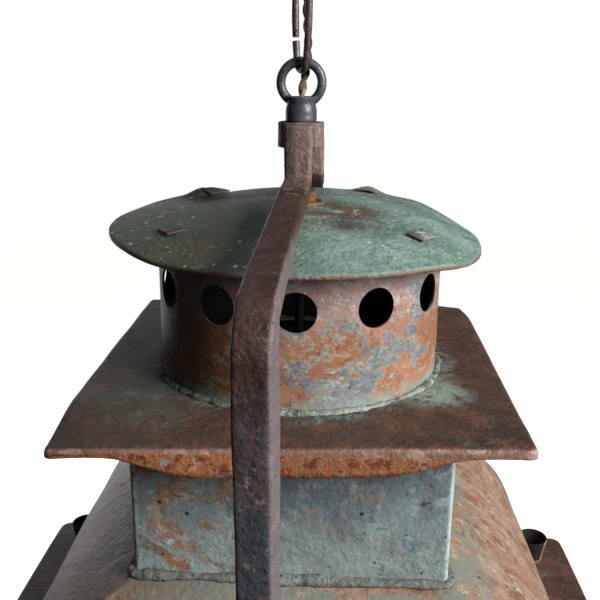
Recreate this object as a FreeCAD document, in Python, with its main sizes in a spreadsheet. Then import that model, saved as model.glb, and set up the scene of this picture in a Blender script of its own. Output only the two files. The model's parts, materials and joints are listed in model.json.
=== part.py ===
import FreeCAD, Part
import math
import os
import re

import Sketcher

# Large copper lantern that hangs from a ceiling hook. Millimetres, +Z up, and the origin is
# the centre of the ceiling plate's top face. The door of the glazed body faces -Y.
# "deck" is the upper square plate of the roof, and heights are given from its top face.

SIZES = {
    # ceiling plate, hook and its nut
    "deck_z": -360.0, "rose_r": 55.0, "rose_thick": 8.0, "rose_edge": 3.0, "rose_skin": 2.0,
    "screw_circle_r": 40.0, "screw_hole_r": 2.6, "outlet_x": 2.0, "outlet_y": 19.0,
    "hook_wire_r": 4.0, "hook_bend_r": 12.0, "hook_wire_up": 303.9, "hook_tip_up": 322.0,
    "hook_shank_low": -21.0, "hook_jog_low": -31.0, "hook_jog_r": 6.0,
    "hook_nut_flats": 13.0, "hook_nut_thick": 6.5, "bush_r": 6.5, "bush_flange": 2.5,
    # chain link and flex
    "link_yaw": 26.0, "link_wire_r": 2.6, "link_low_up": 221.2, "link_half_length": 44.8,
    "link_half_width": 12.0, "link_end_r": 8.5, "link_gap_low_up": 241.6,
    "link_gap_high_up": 244.2, "flex_r": 3.2, "binding_low_up": 272.0, "binding_high_up": 284.0,
    "binding_x": 2.6, "binding_y": 10.9, "binding_wall": 1.5,
    # hanging loop, nipple and lock nut
    "loop_up": 212.6, "loop_ring_r": 14.9, "loop_wire_r": 3.4, "hub_base_up": 185.0,
    "hub_base_r": 11.5, "hub_neck_up": 197.5, "hub_neck_r": 10.3, "hub_top_up": 203.0,
    "thread_r": 5.0, "thread_fit": 0.05, "nipple_bore_r": 3.7, "nipple_top_up": 195.0,
    "nipple_low_up": 154.0, "flex_end_up": 196.8, "lock_nut_flats": 17.0, "lock_nut_thick": 6.5,
    # yoke
    "front_yaw": -2.7, "front_seat": 0.5, "back_arm_x": 3.5, "boss_r": 17.0,
    "boss_low_up": 167.0, "bar_wide": 20.0, "bar_thick": 13.0, "bar_round": 2.5,
    "arm_neck_reach": 19.5, "arm_bend_up": 142.0,
    "arm_shoulder_reach": 252.0, "arm_shoulder_up": 112.0, "arm_waist_reach": 244.0,
    "arm_waist_up": -60.0, "arm_foot_reach": 251.5, "foot_reach": 316.0, "foot_bolt_reach": 291.0,
    "arm_neck_bend_r": 7.5, "arm_shoulder_bend_r": 20.0, "arm_waist_bend_r": 300.0,
    "arm_foot_bend_r": 10.0, "arm_top_step": 1.0,
    "bolt_r": 4.0, "bolt_flats": 13.0, "bolt_head": 5.5, "washer_r": 8.5, "washer_thick": 1.6,
    # cap, its folded tabs and the gland at its middle
    "cap_r": 141.7, "cap_rim_up": 103.5, "cap_top_up": 125.5, "cap_flat_r": 17.0,
    "cap_dome_r": 420.0, "cap_turn_down": 3.0, "sheet_thick": 1.6, "tab_circle_r": 107.5,
    "tab_front_angle": 53.0, "tab_back_left": 136.0, "tab_back_right": 150.0,
    "tab_wide": 18.0, "tab_long": 13.0, "tab_tilt": 13.5, "tab_up": 113.5,
    "gland_washer_r": 16.5, "gland_washer_thick": 1.6,
    "gland_flats": 20.0, "gland_thick": 7.0,
    # vent drum, deck and neck
    "drum_r": 107.0, "drum_top_up": 111.4, "vent_r": 14.0, "vent_up": 71.2, "vent_turn": 1.25,
    "bead_wide": 6.0, "deck_half": 152.5, "deck_thick": 2.0, "deck_apron": 15.0,
    "deck_apron_corner": 4.0, "deck_apron_half": 84.0, "deck_hole_r": 98.0,
    "neck_half": 112.0, "neck_low_up": -124.0, "neck_bead": 5.0,
    # bombe roof, brim and corner cups
    "roof_foot_half": 236.0, "roof_bulge_r": 200.0, "brim_half": 324.0, "brim_up": -362.0,
    "brim_thick": 2.0, "brim_edge": 12.0, "cup_place": 278.0, "cup_top_r": 18.0,
    "cup_base_r": 13.0, "cup_tall": 30.0, "cup_wall": 1.2,
    # glazed body
    "body_half": 215.0, "body_low_up": -770.0, "rail_wide": 20.0, "rail_tall": 18.0,
    "rail_thick": 3.0,
    "post_wide": 22.0, "post_thick": 3.0, "base_thick": 2.0, "base_vent_r": 7.0,
    "base_vent_place": 150.0, "glass_thick": 3.0, "glass_gap": 1.0, "glass_inset": 4.0,
    "clip_long": 24.0, "clip_wide": 10.0, "clip_thick": 1.5, "clip_lap": 6.0, "clip_foot": 4.0,
    # door, hinges and turn button
    "door_gap": 1.0, "door_bar": 18.0, "door_thick": 8.0, "rebate": 6.0,
    "knuckle_r": 5.0, "pin_r": 2.5, "pin_play": 0.05, "knuckle_play": 0.2,
    "hinge_half": 24.0, "hinge_rise": 120.0,
    "leaf_thick": 2.0, "leaf_wide": 18.0, "knuckle_off": 5.5, "knob_r": 9.0, "knob_stem_r": 3.5,
    "button_long": 36.0, "button_wide": 11.0, "button_thick": 2.5, "button_play": 0.3,
    "button_screw_r": 2.2, "button_head_r": 4.5,
    # lamp inside
    "bracket_wide": 24.0, "bracket_thick": 3.0, "bracket_up": -112.0, "stem_r": 6.0,
    "stem_bore_r": 3.7, "stem_low_up": -430.0, "holder_r": 24.0, "holder_tall": 56.0,
    "bulb_base_r": 13.0, "bulb_base_tall": 26.0, "bulb_r": 47.5, "bulb_neck_r": 15.0,
    "bulb_wall": 1.0, "bulb_play": 0.2,
}

doc = FreeCAD.newDocument("lantern")
sheet = doc.addObject("Spreadsheet::Sheet", "dims")
for row, (word, size) in enumerate(SIZES.items(), start=1):
    sheet.set(f"A{row}", word)
    sheet.set(f"B{row}", str(size))
    sheet.setAlias(f"B{row}", word)
doc.recompute()

nodes = []


def formula(text):
    """The text as an expression in which every known word is a cell of the sheet."""
    return re.sub(r"[a-z][a-z_]*", lambda m: f"dims.{m[0]}" if m[0] in SIZES else m[0], str(text))


def size(text):
    """What a formula comes to, in millimetres or degrees."""
    found = sheet.evalExpression(formula(text))
    return float(getattr(found, "Value", found))


def node(thing, label):
    """Names a finished sub-part and puts it on the list of files."""
    thing.Label = label
    nodes.append(thing)
    return thing


def place(thing, x=0, y=0, z=0, yaw=0):
    """Binds an object's place and its turn about Z."""
    for axis, text in (("x", x), ("y", y), ("z", z)):
        thing.setExpression(f"Placement.Base.{axis}", formula(text))
    if yaw:
        thing.Placement.Rotation = FreeCAD.Rotation(FreeCAD.Vector(0, 0, 1), size(yaw))
        thing.setExpression("Placement.Rotation.Angle", formula(yaw))
    return thing


def new_body(name):
    return doc.addObject("PartDesign::Body", name)


def plane(body, role):
    return next(f for f in body.Origin.OriginFeatures if f.Role == role)


def new_sketch(body, name, role, lift=0):
    """A sketch on one of the body's origin planes, lifted along that plane's normal."""
    sketch = body.newObject("Sketcher::SketchObject", name)
    sketch.AttachmentSupport = [(plane(body, role), "")]
    sketch.MapMode = "FlatFace"
    if lift:
        sketch.setExpression("AttachmentOffset.Base.z", formula(lift))
    return sketch


def fix_point(sketch, edge, end, x, y):
    """Binds a point of a sketch to its two distances from the sketch's origin."""
    for kind, text in (("DistanceX", x), ("DistanceY", y)):
        i = sketch.addConstraint(Sketcher.Constraint(kind, -1, 1, edge, end, size(text)))
        sketch.setExpression(f"Constraints[{i}]", formula(text))


def outline(sketch, corners):
    """A closed outline. A corner is (x, y), or (x, y, radius) where an arc leaves it: the arc
    bulges to the left of the way to the next corner, or to the right if the radius is negative."""
    at = [FreeCAD.Vector(size(c[0]), size(c[1]), 0) for c in corners]
    ends = []
    for i, corner in enumerate(corners):
        a, b = at[i], at[(i + 1) % len(at)]
        if len(corner) == 3:
            radius = size(corner[2])
            chord = b - a
            left = FreeCAD.Vector(-chord.y, chord.x, 0).normalize()
            side = math.copysign(1, radius)
            drop = math.sqrt(radius**2 - (chord.Length / 2) ** 2)
            centre = (a + b) / 2 - left * (side * drop)
            angles = [math.atan2(p.y - centre.y, p.x - centre.x) for p in (a, b)]
            start, stop = angles if side < 0 else angles[::-1]
            circle = Part.Circle(centre, FreeCAD.Vector(0, 0, 1), abs(radius))
            edge = sketch.addGeometry(Part.ArcOfCircle(circle, start, stop), False)
            ends.append((edge, 1, 2) if side < 0 else (edge, 2, 1))
        else:
            edge = sketch.addGeometry(Part.LineSegment(a, b), False)
            ends.append((edge, 1, 2))
    for i, (edge, begin, end) in enumerate(ends):
        after = ends[(i + 1) % len(ends)]
        sketch.addConstraint(Sketcher.Constraint("Coincident", edge, end, after[0], after[1]))
        fix_point(sketch, edge, begin, corners[i][0], corners[i][1])
        if len(corners[i]) == 3:
            radius = corners[i][2]
            k = sketch.addConstraint(Sketcher.Constraint("Radius", edge, abs(size(radius))))
            sketch.setExpression(f"Constraints[{k}]", f"abs({formula(radius)})")


def rectangle(sketch, x0, y0, x1, y1):
    outline(sketch, [(x0, y0), (x1, y0), (x1, y1), (x0, y1)])


def circle(sketch, x, y, radius):
    centre = FreeCAD.Vector(size(x), size(y), 0)
    edge = sketch.addGeometry(Part.Circle(centre, FreeCAD.Vector(0, 0, 1), size(radius)), False)
    k = sketch.addConstraint(Sketcher.Constraint("Radius", edge, size(radius)))
    sketch.setExpression(f"Constraints[{k}]", formula(radius))
    fix_point(sketch, edge, 3, x, y)


def hexagon(sketch, x, y, flats):
    """A hexagon with two corners along X, measured across its flats."""
    far, half, near = f"({flats}) / sqrt(3)", f"({flats}) / 2", f"({flats}) / sqrt(12)"
    turns = [(far, "0"), (near, half), (f"-{near}", half)]
    turns += [(f"-{far}", "0"), (f"-{near}", f"-{half}"), (near, f"-{half}")]
    outline(sketch, [(f"({x}) + {a}", f"({y}) + {b}") for a, b in turns])


def pad(body, sketch, length, centred=False, back=False):
    thing = body.newObject("PartDesign::Pad", f"{body.Name}_pad")
    thing.Profile = sketch
    thing.setExpression("Length", formula(length))
    if centred:
        thing.SideType = "Symmetric"
    thing.Reversed = back
    return thing


def axis_line(sketch, x, y0, y1):
    """A construction line along the sketch's second axis, for a piece to be turned about."""
    edge = sketch.GeometryCount
    ends = [vector(size(x), size(y), 0) for y in (y0, y1)]
    sketch.addGeometry(Part.LineSegment(*ends), True)
    fix_point(sketch, edge, 1, x, y0)
    fix_point(sketch, edge, 2, x, y1)


def turn(body, sketch, axis="V_Axis"):
    thing = body.newObject("PartDesign::Revolution", f"{body.Name}_turn")
    thing.Profile = sketch
    thing.ReferenceAxis = (sketch, [axis])
    thing.Angle = 360
    return thing


def around(body, feature, count, extent=360):
    """Repeats a feature evenly about the Z axis, over the whole turn or over a part of it."""
    thing = body.newObject("PartDesign::PolarPattern", f"{body.Name}_round")
    thing.Originals = [feature]
    thing.Axis = (plane(body, "Z_Axis"), [""])
    thing.Angle = extent
    thing.Occurrences = count
    body.Tip = thing
    return thing


def through(body, sketch, count=1, extent=360):
    """Cuts a sketch right through the body, both ways, and checks that it did cut."""
    doc.recompute()
    before = body.Shape.Volume
    cut = body.newObject("PartDesign::Pocket", f"{body.Name}_{sketch.Name}_cut")
    cut.Profile = sketch
    cut.SideType = "Symmetric"
    cut.Type = "ThroughAll"
    if count > 1:
        around(body, cut, count, extent)
    doc.recompute()
    if body.Shape.Volume > before - 1:
        raise ValueError(f"{body.Name}: the cut takes nothing away")
    return cut


def plate(label, corners, low, high, hole=None):
    """A flat piece: an outline on the XY plane between two heights."""
    body = new_body(label)
    sketch = new_sketch(body, f"{label}_outline", "XY_Plane", low)
    outline(sketch, corners)
    if hole:
        hole(sketch)
    pad(body, sketch, f"({high}) - ({low})")
    return node(body, label)


def square(half):
    h = f"({half})"
    return [(f"-{h}", f"-{h}"), (h, f"-{h}"), (h, h), (f"-{h}", h)]


def frame(label, half, inner, low, high):
    """A square ring between two heights."""
    return plate(label, square(half), low, high, lambda s: outline(s, square(inner)))


def spun(label, corners, listed=True):
    """A piece turned about Z. A corner is (radius, height)."""
    body = new_body(label)
    sketch = new_sketch(body, f"{label}_profile", "XZ_Plane")
    outline(sketch, corners)
    turn(body, sketch)
    return node(body, label) if listed else body


def up(height):
    """A height above the deck as a height in the lantern's frame."""
    return f"deck_z + ({height})"


def vector(x, y, z):
    return FreeCAD.Vector(x, y, z)


def rounded_path(points, radii, report=None):
    """Straight runs joined by tangent arcs. radii has one radius for each inner point."""
    edges, start = [], points[0]
    for i, radius in enumerate(radii, start=1):
        before, corner, after = points[i - 1], points[i], points[i + 1]
        back, on = (before - corner).normalize(), (after - corner).normalize()
        half = back.getAngle(on) / 2
        reach = radius / math.tan(half)
        a, b = corner + back * reach, corner + on * reach
        middle = corner + (back + on).normalize() * (radius / math.sin(half) - radius)
        if (a - start).Length > 1e-4:
            edges.append(Part.LineSegment(start, a).toShape())
        edges.append(Part.Arc(a, middle, b).toShape())
        start = b
    if (points[-1] - start).Length > 1e-4:
        edges.append(Part.LineSegment(start, points[-1]).toShape())
    if report:
        length = sum(edge.Length for edge in edges)
        print(report, "radii", [round(r, 1) for r in radii], "length", round(length, 1))
    return Part.Wire(edges)


def tube(label, path, radius):
    """A round bar along a path."""
    first = path.Edges[0]
    start, way = first.valueAt(first.FirstParameter), first.tangentAt(first.FirstParameter)
    ring = Part.Wire(Part.Circle(start, way, radius).toShape())
    thing = doc.addObject("Part::Feature", label)
    thing.Shape = path.makePipeShell([ring], True, False)
    expected = math.pi * radius**2 * path.Length
    if abs(thing.Shape.Volume / expected - 1) > 0.01:
        raise ValueError(f"{label}: the sweep's volume is off")
    return node(thing, label)


def cord(label, points, radius):
    """A cord's tube, with each arc as large as the runs beside it allow."""
    radii = []
    for before, corner, after in zip(points, points[1:], points[2:]):
        run = min((before - corner).Length, (after - corner).Length)
        bend = math.pi - (before - corner).getAngle(after - corner)
        radii.append(0.45 * run / math.tan(bend / 2))
    return tube(label, rounded_path(points, radii, label), radius)


# ---- ceiling plate, hook, nut and flex bush ----
deck = size("deck_z")
link_yaw = math.radians(size("link_yaw"))
link_along = vector(math.sin(link_yaw), -math.cos(link_yaw), 0)
link_across = vector(math.cos(link_yaw), math.sin(link_yaw), 0)

rose = spun("ceiling_plate", [
    ("0", "0"), ("rose_r", "0"), ("rose_r", "-rose_edge"), ("rose_r - rose_edge", "-rose_thick"),
    ("hook_wire_r", "-rose_thick"), ("hook_wire_r", "-rose_skin"), ("0", "-rose_skin"),
])
screws = new_sketch(rose, "screw_hole", "XY_Plane")
circle(screws, "0", "screw_circle_r", "screw_hole_r")
through(rose, screws, count=3)
outlet = new_sketch(rose, "flex_outlet", "XY_Plane")
circle(outlet, "outlet_x", "outlet_y", "bush_r")
through(rose, outlet)

hook_bottom, hook_tip = deck + size("hook_wire_up"), deck + size("hook_tip_up")
hook_bend = size("hook_bend_r")
hook_line = [
    (0, -size("rose_skin")), (0, size("hook_shank_low")), (hook_bend, size("hook_jog_low")),
    (hook_bend, hook_bottom), (-hook_bend, hook_bottom), (-hook_bend, hook_tip),
]
hook_points = [link_across * a + vector(0, 0, z) for a, z in hook_line]
hook_radii = [size("hook_jog_r")] * 2 + [hook_bend] * 2
tube("ceiling_hook", rounded_path(hook_points, hook_radii), size("hook_wire_r"))


def nut(label, flats, low, high, bore, x="0", y="0"):
    body = new_body(label)
    sketch = new_sketch(body, f"{label}_hexagon", "XY_Plane", low)
    hexagon(sketch, x, y, flats)
    circle(sketch, x, y, bore)
    pad(body, sketch, f"({high}) - ({low})")
    return node(body, label)


nut("hook_nut", "hook_nut_flats", "-rose_thick - hook_nut_thick", "-rose_thick", "hook_wire_r")

bush = new_body("flex_bush")
bush_profile = new_sketch(bush, "bush_profile", "XZ_Plane")
outline(bush_profile, [
    ("flex_r", "-rose_thick - bush_flange"), ("bush_r + bush_flange", "-rose_thick - bush_flange"),
    ("bush_r + bush_flange", "-rose_thick"), ("bush_r", "-rose_thick"), ("bush_r", "-1"),
    ("flex_r", "-1"),
])
turn(bush, bush_profile)
place(node(bush, "flex_bush"), "outlet_x", "outlet_y")

# ---- chain link with its open joint ----
low, long = size("link_low_up") + deck, size("link_half_length")
wide, end_r = size("link_half_width"), size("link_end_r")
side_r = ((long - end_r) ** 2 + wide**2 - end_r**2) / (2 * (wide - end_r))
middle_z = low + long
half_side = math.asin((long - end_r) / (side_r - end_r))
join_z = long - end_r + end_r * math.sin(half_side)


def link_point(b, z):
    return link_along * b + vector(0, 0, middle_z + z)


def side_arc(side, z0, z1):
    """The side of the link between two heights from its middle."""
    at = [side_r - wide - math.sqrt(side_r**2 - z**2) for z in (z0, (z0 + z1) / 2, z1)]
    spots = [link_point(-side * b, z) for b, z in zip(at, (z0, (z0 + z1) / 2, z1))]
    return Part.Arc(*spots).toShape()


def end_arc(side):
    """The rounded end of the link: side is 1 at the top and -1 at the bottom."""
    b = end_r * math.cos(half_side)
    spots = link_point(-b, side * join_z), link_point(0, side * long), link_point(b, side * join_z)
    return Part.Arc(*spots).toShape()


gap_low, gap_high = (size(w) + deck - middle_z for w in ("link_gap_low_up", "link_gap_high_up"))
link_edges = [
    side_arc(-1, gap_low, -join_z), end_arc(-1), side_arc(1, -join_z, join_z), end_arc(1),
    side_arc(-1, join_z, gap_high),
]
tube("chain_link", Part.Wire(Part.__sortEdges__(link_edges)), size("link_wire_r"))

# ---- flex: the ceiling to the binding, and the binding to the loop ----
flex_upper = [
    (2.0, 19.0, 350), (2.3, 18.2, 334), (2.5, 15.4, 316), (2.4, 12.4, 299), (2.6, 10.9, 284.2),
]
flex_lower = [
    (2.6, 10.9, 283.8), (2.7, 10.8, 270), (3.2, 10.4, 256), (4.2, 9.8, 242), (4.4, 8.9, 227),
    (0.2, 0.5, 208), (0, 0, 197),
]
for label, route in (("flex_upper", flex_upper), ("flex_lower", flex_lower)):
    cord(label, [vector(x, y, z + deck) for x, y, z in route], size("flex_r"))

flex_inner = doc.addObject("Part::Cylinder", "flex_inner")
flex_inner.setExpression("Radius", formula("flex_r"))
flex_inner.setExpression("Height", formula("flex_end_up - stem_low_up"))
place(node(flex_inner, "flex_inner"), 0, 0, up("stem_low_up"))

binding = new_body("flex_binding")
band = new_sketch(binding, "binding_ring", "XY_Plane", up("binding_low_up"))
circle(band, "binding_x", "binding_y", "flex_r + binding_wall")
circle(band, "binding_x", "binding_y", "flex_r")
pad(binding, band, "binding_high_up - binding_low_up")
node(binding, "flex_binding")

# ---- hanging loop, nipple and lock nut ----
hub = spun("loop_hub", [
    ("thread_r + thread_fit", up("hub_base_up")), ("hub_base_r - 1", up("hub_base_up")),
    ("hub_base_r", up("hub_base_up + 1.5")), ("hub_base_r", up("hub_base_up + 5.5"), "-14"),
    ("hub_neck_r", up("hub_neck_up")), ("hub_neck_r + 0.6", up("hub_top_up")),
    ("nipple_bore_r + 1.2", up("hub_top_up")), ("nipple_bore_r", up("nipple_top_up + 2.5")),
    ("nipple_bore_r", up("nipple_top_up")), ("thread_r + thread_fit", up("nipple_top_up")),
], listed=False)
ring = doc.addObject("Part::Torus", "loop_ring")
ring.setExpression("Radius1", formula("loop_ring_r"))
ring.setExpression("Radius2", formula("loop_wire_r"))
place(ring, 0, 0, up("loop_up"))
ring.Placement.Rotation = FreeCAD.Rotation(FreeCAD.Vector(1, 0, 0), 90)
bore = doc.addObject("Part::Cylinder", "loop_bore")
bore.setExpression("Radius", formula("nipple_bore_r + 1.2"))
bore.setExpression("Height", formula("hub_top_up - hub_base_up"))
place(bore, 0, 0, up("hub_base_up"))
open_ring = doc.addObject("Part::Cut", "loop_ring_cut")
open_ring.Base, open_ring.Tool = ring, bore
loop = doc.addObject("Part::Fuse", "hanging_loop")
loop.Base, loop.Tool = hub, open_ring
node(loop, "hanging_loop")

spun("hollow_nipple", [
    ("nipple_bore_r", up("nipple_low_up")), ("thread_r", up("nipple_low_up")),
    ("thread_r", up("nipple_top_up")), ("nipple_bore_r", up("nipple_top_up")),
])
nut("lock_nut", "lock_nut_flats", up("boss_low_up - lock_nut_thick"), up("boss_low_up"),
    "thread_r + thread_fit")

# ---- yoke: a boss with two forged arms, bolted to the brim ----
boss = new_body("yoke_boss")
boss_outline = new_sketch(boss, "boss_outline", "XY_Plane", up("boss_low_up"))
flat = "arm_neck_reach - bar_thick / 2"
edge_x = f"sqrt(boss_r^2 - ({flat})^2)"
outline(boss_outline, [
    (f"-({edge_x})", f"-({flat})"), (edge_x, f"-({flat})", "-boss_r"), (edge_x, flat),
    (f"-({edge_x})", flat, "-boss_r"),
])
circle(boss_outline, "0", "0", "thread_r + thread_fit")
pad(boss, boss_outline, "hub_base_up - boss_low_up")
node(boss, "yoke_boss")


def yoke_arm(label, side, yaw, shift, seat):
    """One arm, swept from the boss over the cap and down to its foot on the brim.

    The forging isn't quite true: an arm may stand at an angle, off to one side, or off the boss."""
    yaw = math.radians(size(yaw))
    outward = vector(-side * math.sin(yaw), side * math.cos(yaw), 0)
    across = vector(math.cos(yaw), math.sin(yaw), 0)
    half, thick, corner = size("bar_wide") / 2, size("bar_thick") / 2, size("bar_round")
    foot_up, bar_half_up = size("brim_up") + thick, size("bar_thick")
    line = [
        (size(f"arm_neck_reach + {seat}"), size("hub_base_up - arm_top_step")),
        (size(f"arm_neck_reach + {seat}"), size("arm_bend_up")),
        (size("arm_shoulder_reach"), size("arm_shoulder_up")),
        (size("arm_waist_reach"), size("arm_waist_up")),
        (size("arm_foot_reach"), foot_up),
        (size("foot_reach"), foot_up),
    ]
    aside = vector(size(shift), 0, deck)
    points = [outward * reach + aside + vector(0, 0, height) for reach, height in line]
    bends = ("neck", "shoulder", "waist", "foot")
    path = rounded_path(points, [size(f"arm_{bend}_bend_r") for bend in bends])
    corners = [points[0] + across * (a * half) + outward * (b * thick)
               for a, b in ((-1, -1), (1, -1), (1, 1), (-1, 1))]
    section = Part.makePolygon(corners + corners[:1])
    bar = path.makePipeShell([section], True, False, 2)
    long_edges = [e for e in bar.Edges if not is_across(e, across)]
    hole_foot = outward * size("foot_bolt_reach") + aside + vector(0, 0, foot_up - bar_half_up)
    hole = Part.makeCylinder(size("bolt_r"), 2 * bar_half_up, hole_foot)
    thing = doc.addObject("Part::Feature", label)
    thing.Shape = bar.makeFillet(corner, long_edges).cut(hole)
    return node(thing, label)


def is_across(edge, across):
    """Whether a straight edge runs across the bar, along its width or its thickness."""
    if edge.Curve.TypeId != "Part::GeomLine":
        return False
    way = edge.tangentAt(edge.FirstParameter)
    return abs(way.dot(across)) > 0.99 or edge.Length <= size("bar_thick") + 0.01


yoke_arm("yoke_arm_front", -1, "front_yaw", "0", "front_seat")
yoke_arm("yoke_arm_back", 1, "0", "back_arm_x", "0")


front_foot = ("foot_bolt_reach * sin(front_yaw)", "-foot_bolt_reach * cos(front_yaw)")
foot_spots = [front_foot, ("back_arm_x", "foot_bolt_reach")]


def fastener(label, kind, low, high, bore=None):
    """A group of hexagon or round pieces, one at each foot of the yoke."""
    body = new_body(label)
    sketch = new_sketch(body, f"{label}_outlines", "XY_Plane", low)
    for x, y in foot_spots:
        if kind == "hexagon":
            hexagon(sketch, x, y, "bolt_flats")
        else:
            circle(sketch, x, y, kind)
        if bore:
            circle(sketch, x, y, bore)
    pad(body, sketch, f"({high}) - ({low})")
    return node(body, label)


foot_top = "brim_up + bar_thick"
fastener("foot_bolt_heads", "hexagon", up(foot_top), up(f"{foot_top} + bolt_head"))
fastener("foot_bolt_shanks", "bolt_r", up("brim_up - brim_thick - 14"), up(foot_top))
fastener("foot_washers", "washer_r", up("brim_up - brim_thick - washer_thick"),
         up("brim_up - brim_thick"), "bolt_r")
fastener("foot_nuts", "hexagon", up("brim_up - brim_thick - washer_thick - bolt_head"),
         up("brim_up - brim_thick - washer_thick"), "bolt_r")

# ---- cap, folded tabs and gland ----
rim_in = "cap_r - sheet_thick"
spun("cap_dome", [
    ("thread_r", up("cap_top_up")), ("thread_r", up("cap_top_up - sheet_thick")),
    ("cap_flat_r", up("cap_top_up - sheet_thick"), "cap_dome_r - sheet_thick"),
    (rim_in, up("cap_rim_up - sheet_thick")), (rim_in, up("cap_rim_up - cap_turn_down")),
    ("cap_r", up("cap_rim_up - cap_turn_down")), ("cap_r", up("cap_rim_up"), "-cap_dome_r"),
    ("cap_flat_r", up("cap_top_up")),
])
spun("gland_washer", [
    ("flex_r", up("cap_top_up")), ("gland_washer_r", up("cap_top_up")),
    ("gland_washer_r", up("cap_top_up + gland_washer_thick")),
    ("flex_r", up("cap_top_up + gland_washer_thick")),
])
nut("gland_nut", "gland_flats", up("cap_top_up + gland_washer_thick"),
    up("cap_top_up + gland_washer_thick + gland_thick"), "flex_r")

tabs = []
for number, (side, angle) in enumerate(
    [(-1, "tab_front_angle"), (1, "tab_front_angle"), (1, "tab_back_right"), (-1, "tab_back_left")]
):
    tab = doc.addObject("Part::Box", f"tab_{number}")
    tab.setExpression("Length", formula("tab_wide"))
    tab.setExpression("Width", formula("tab_long"))
    tab.setExpression("Height", formula("sheet_thick"))
    turned = side * size(angle)
    spin = FreeCAD.Rotation(vector(0, 0, 1), turned)
    tilt = FreeCAD.Rotation(vector(1, 0, 0), size("tab_tilt"))
    corner = vector(-size("tab_wide") / 2, -size("tab_long") / 2, 0)
    seat = spin.multVec(vector(0, -size("tab_circle_r"), 0)) + vector(0, 0, deck + size("tab_up"))
    centred = FreeCAD.Placement(corner, FreeCAD.Rotation())
    tab.Placement = FreeCAD.Placement(seat, spin * tilt) * centred
    tabs.append(tab)
folded = doc.addObject("Part::Compound", "cap_tabs")
folded.Links = tabs
node(folded, "cap_tabs")

# ---- vent drum, its solder bead, and the deck ----
drum_in = "drum_r - sheet_thick"
drum = spun("vent_drum", [
    (drum_in, up("0")), ("drum_r", up("0")), ("drum_r", up("drum_top_up")),
    (drum_in, up("drum_top_up")),
])
vent = new_sketch(drum, "vent_hole", "XZ_Plane")
circle(vent, "0", up("vent_up"), "vent_r")
through(drum, vent, count=6, extent=150)  # each cut opens the front and the back
place(drum, yaw="vent_turn")
spun("drum_solder", [
    ("drum_r", up("0")), ("drum_r + bead_wide", up("0"), "bead_wide * 1.1"),
    ("drum_r", up("bead_wide")),
])

deck_plate = plate("upper_deck", square("deck_half"), up("-deck_thick"), up("0"),
                   lambda s: circle(s, "0", "0", "deck_hole_r"))
apron = new_sketch(deck_plate, "apron_outline", "XZ_Plane", "deck_half - deck_thick")
outline(apron, [
    ("-deck_half", up("-deck_thick")), ("-deck_half", up("-deck_apron_corner")),
    ("-deck_apron_half", up("-deck_apron")), ("deck_apron_half", up("-deck_apron")),
    ("deck_half", up("-deck_apron_corner")), ("deck_half", up("-deck_thick")),
])
around(deck_plate, pad(deck_plate, apron, "deck_thick"), 4)

# ---- neck, roof and brim ----
frame("neck_box", "neck_half", "neck_half - sheet_thick", up("neck_low_up"), up("-deck_thick"))
frame("neck_solder", "neck_half + neck_bead", "neck_half", up("neck_low_up - 2"),
      up("neck_low_up + neck_bead"))


def bombe(name, inside):
    """A solid with four curved slopes: two long vaults at right angles, and what they share."""
    vaults = []
    for turned in (0, 90):
        body = new_body(f"{name}_vault_{turned}")
        sketch = new_sketch(body, f"{name}_vault_{turned}_outline", "XZ_Plane")
        foot, top = f"(roof_foot_half - {inside})", f"(neck_half - {inside})"
        low_z, high_z = up("brim_up"), up("neck_low_up - 2")
        outline(sketch, [
            (foot, low_z, f"-(roof_bulge_r - {inside})"), (top, high_z),
            (f"-({top})", high_z, f"-(roof_bulge_r - {inside})"), (f"-({foot})", low_z),
        ])
        pad(body, sketch, "brim_half * 2", centred=True)
        place(body, yaw=turned)
        vaults.append(body)
    shared = doc.addObject("Part::Common", f"{name}_roof")
    shared.Base, shared.Tool = vaults
    return shared


roof = doc.addObject("Part::Cut", "roof_shell")
roof.Base, roof.Tool = bombe("outer", "0"), bombe("inner", "sheet_thick")
node(roof, "roof_shell")

brim = plate("brim_plate", square("brim_half"), up("brim_up - brim_thick"), up("brim_up"),
             lambda s: outline(s, square("body_half - rail_wide")))
edge = new_sketch(brim, "edge_outline", "XY_Plane", up("brim_up - brim_edge"))
outline(edge, square("brim_half"))
outline(edge, square("brim_half - brim_thick"))
pad(brim, edge, "brim_edge - brim_thick")
bolt_holes = new_sketch(brim, "foot_bolt_holes", "XY_Plane")
for x, y in foot_spots:
    circle(bolt_holes, x, y, "bolt_r")
through(brim, bolt_holes)

cups = new_body("corner_cups")
cup = new_sketch(cups, "cup_profile", "XZ_Plane")
middle, cup_low, cup_high = "cup_place * sqrt(2)", up("brim_up"), up("brim_up + cup_tall")
cup_floor = up("brim_up + cup_wall")
outline(cup, [
    (middle, cup_low), (f"{middle} + cup_base_r", cup_low), (f"{middle} + cup_top_r", cup_high),
    (f"{middle} + cup_top_r - cup_wall", cup_high),
    (f"{middle} + cup_base_r - cup_wall", cup_floor), (middle, cup_floor),
])
axis_line(cup, middle, cup_low, cup_high)
around(cups, turn(cups, cup, "Axis0"), 4)
cups.Placement.Rotation = FreeCAD.Rotation(vector(0, 0, 1), 45)
node(cups, "corner_cups")

# ---- glazed body: rails, posts, base, panes and clips ----
under_brim = "brim_up - brim_thick"
rail_in = "body_half - rail_wide"
top_low, low_high = f"{under_brim} - rail_tall", "body_low_up + rail_tall"


def rail(label, low, high, flange_low):
    """A square ring of angle section: an upright wall, and a flange that points inwards."""
    body = frame(label, "body_half", "body_half - rail_thick", low, high)
    sketch = new_sketch(body, f"{label}_flange", "XY_Plane", flange_low)
    outline(sketch, square("body_half - rail_thick"))
    outline(sketch, square(rail_in))
    pad(body, sketch, "rail_thick")


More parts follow.
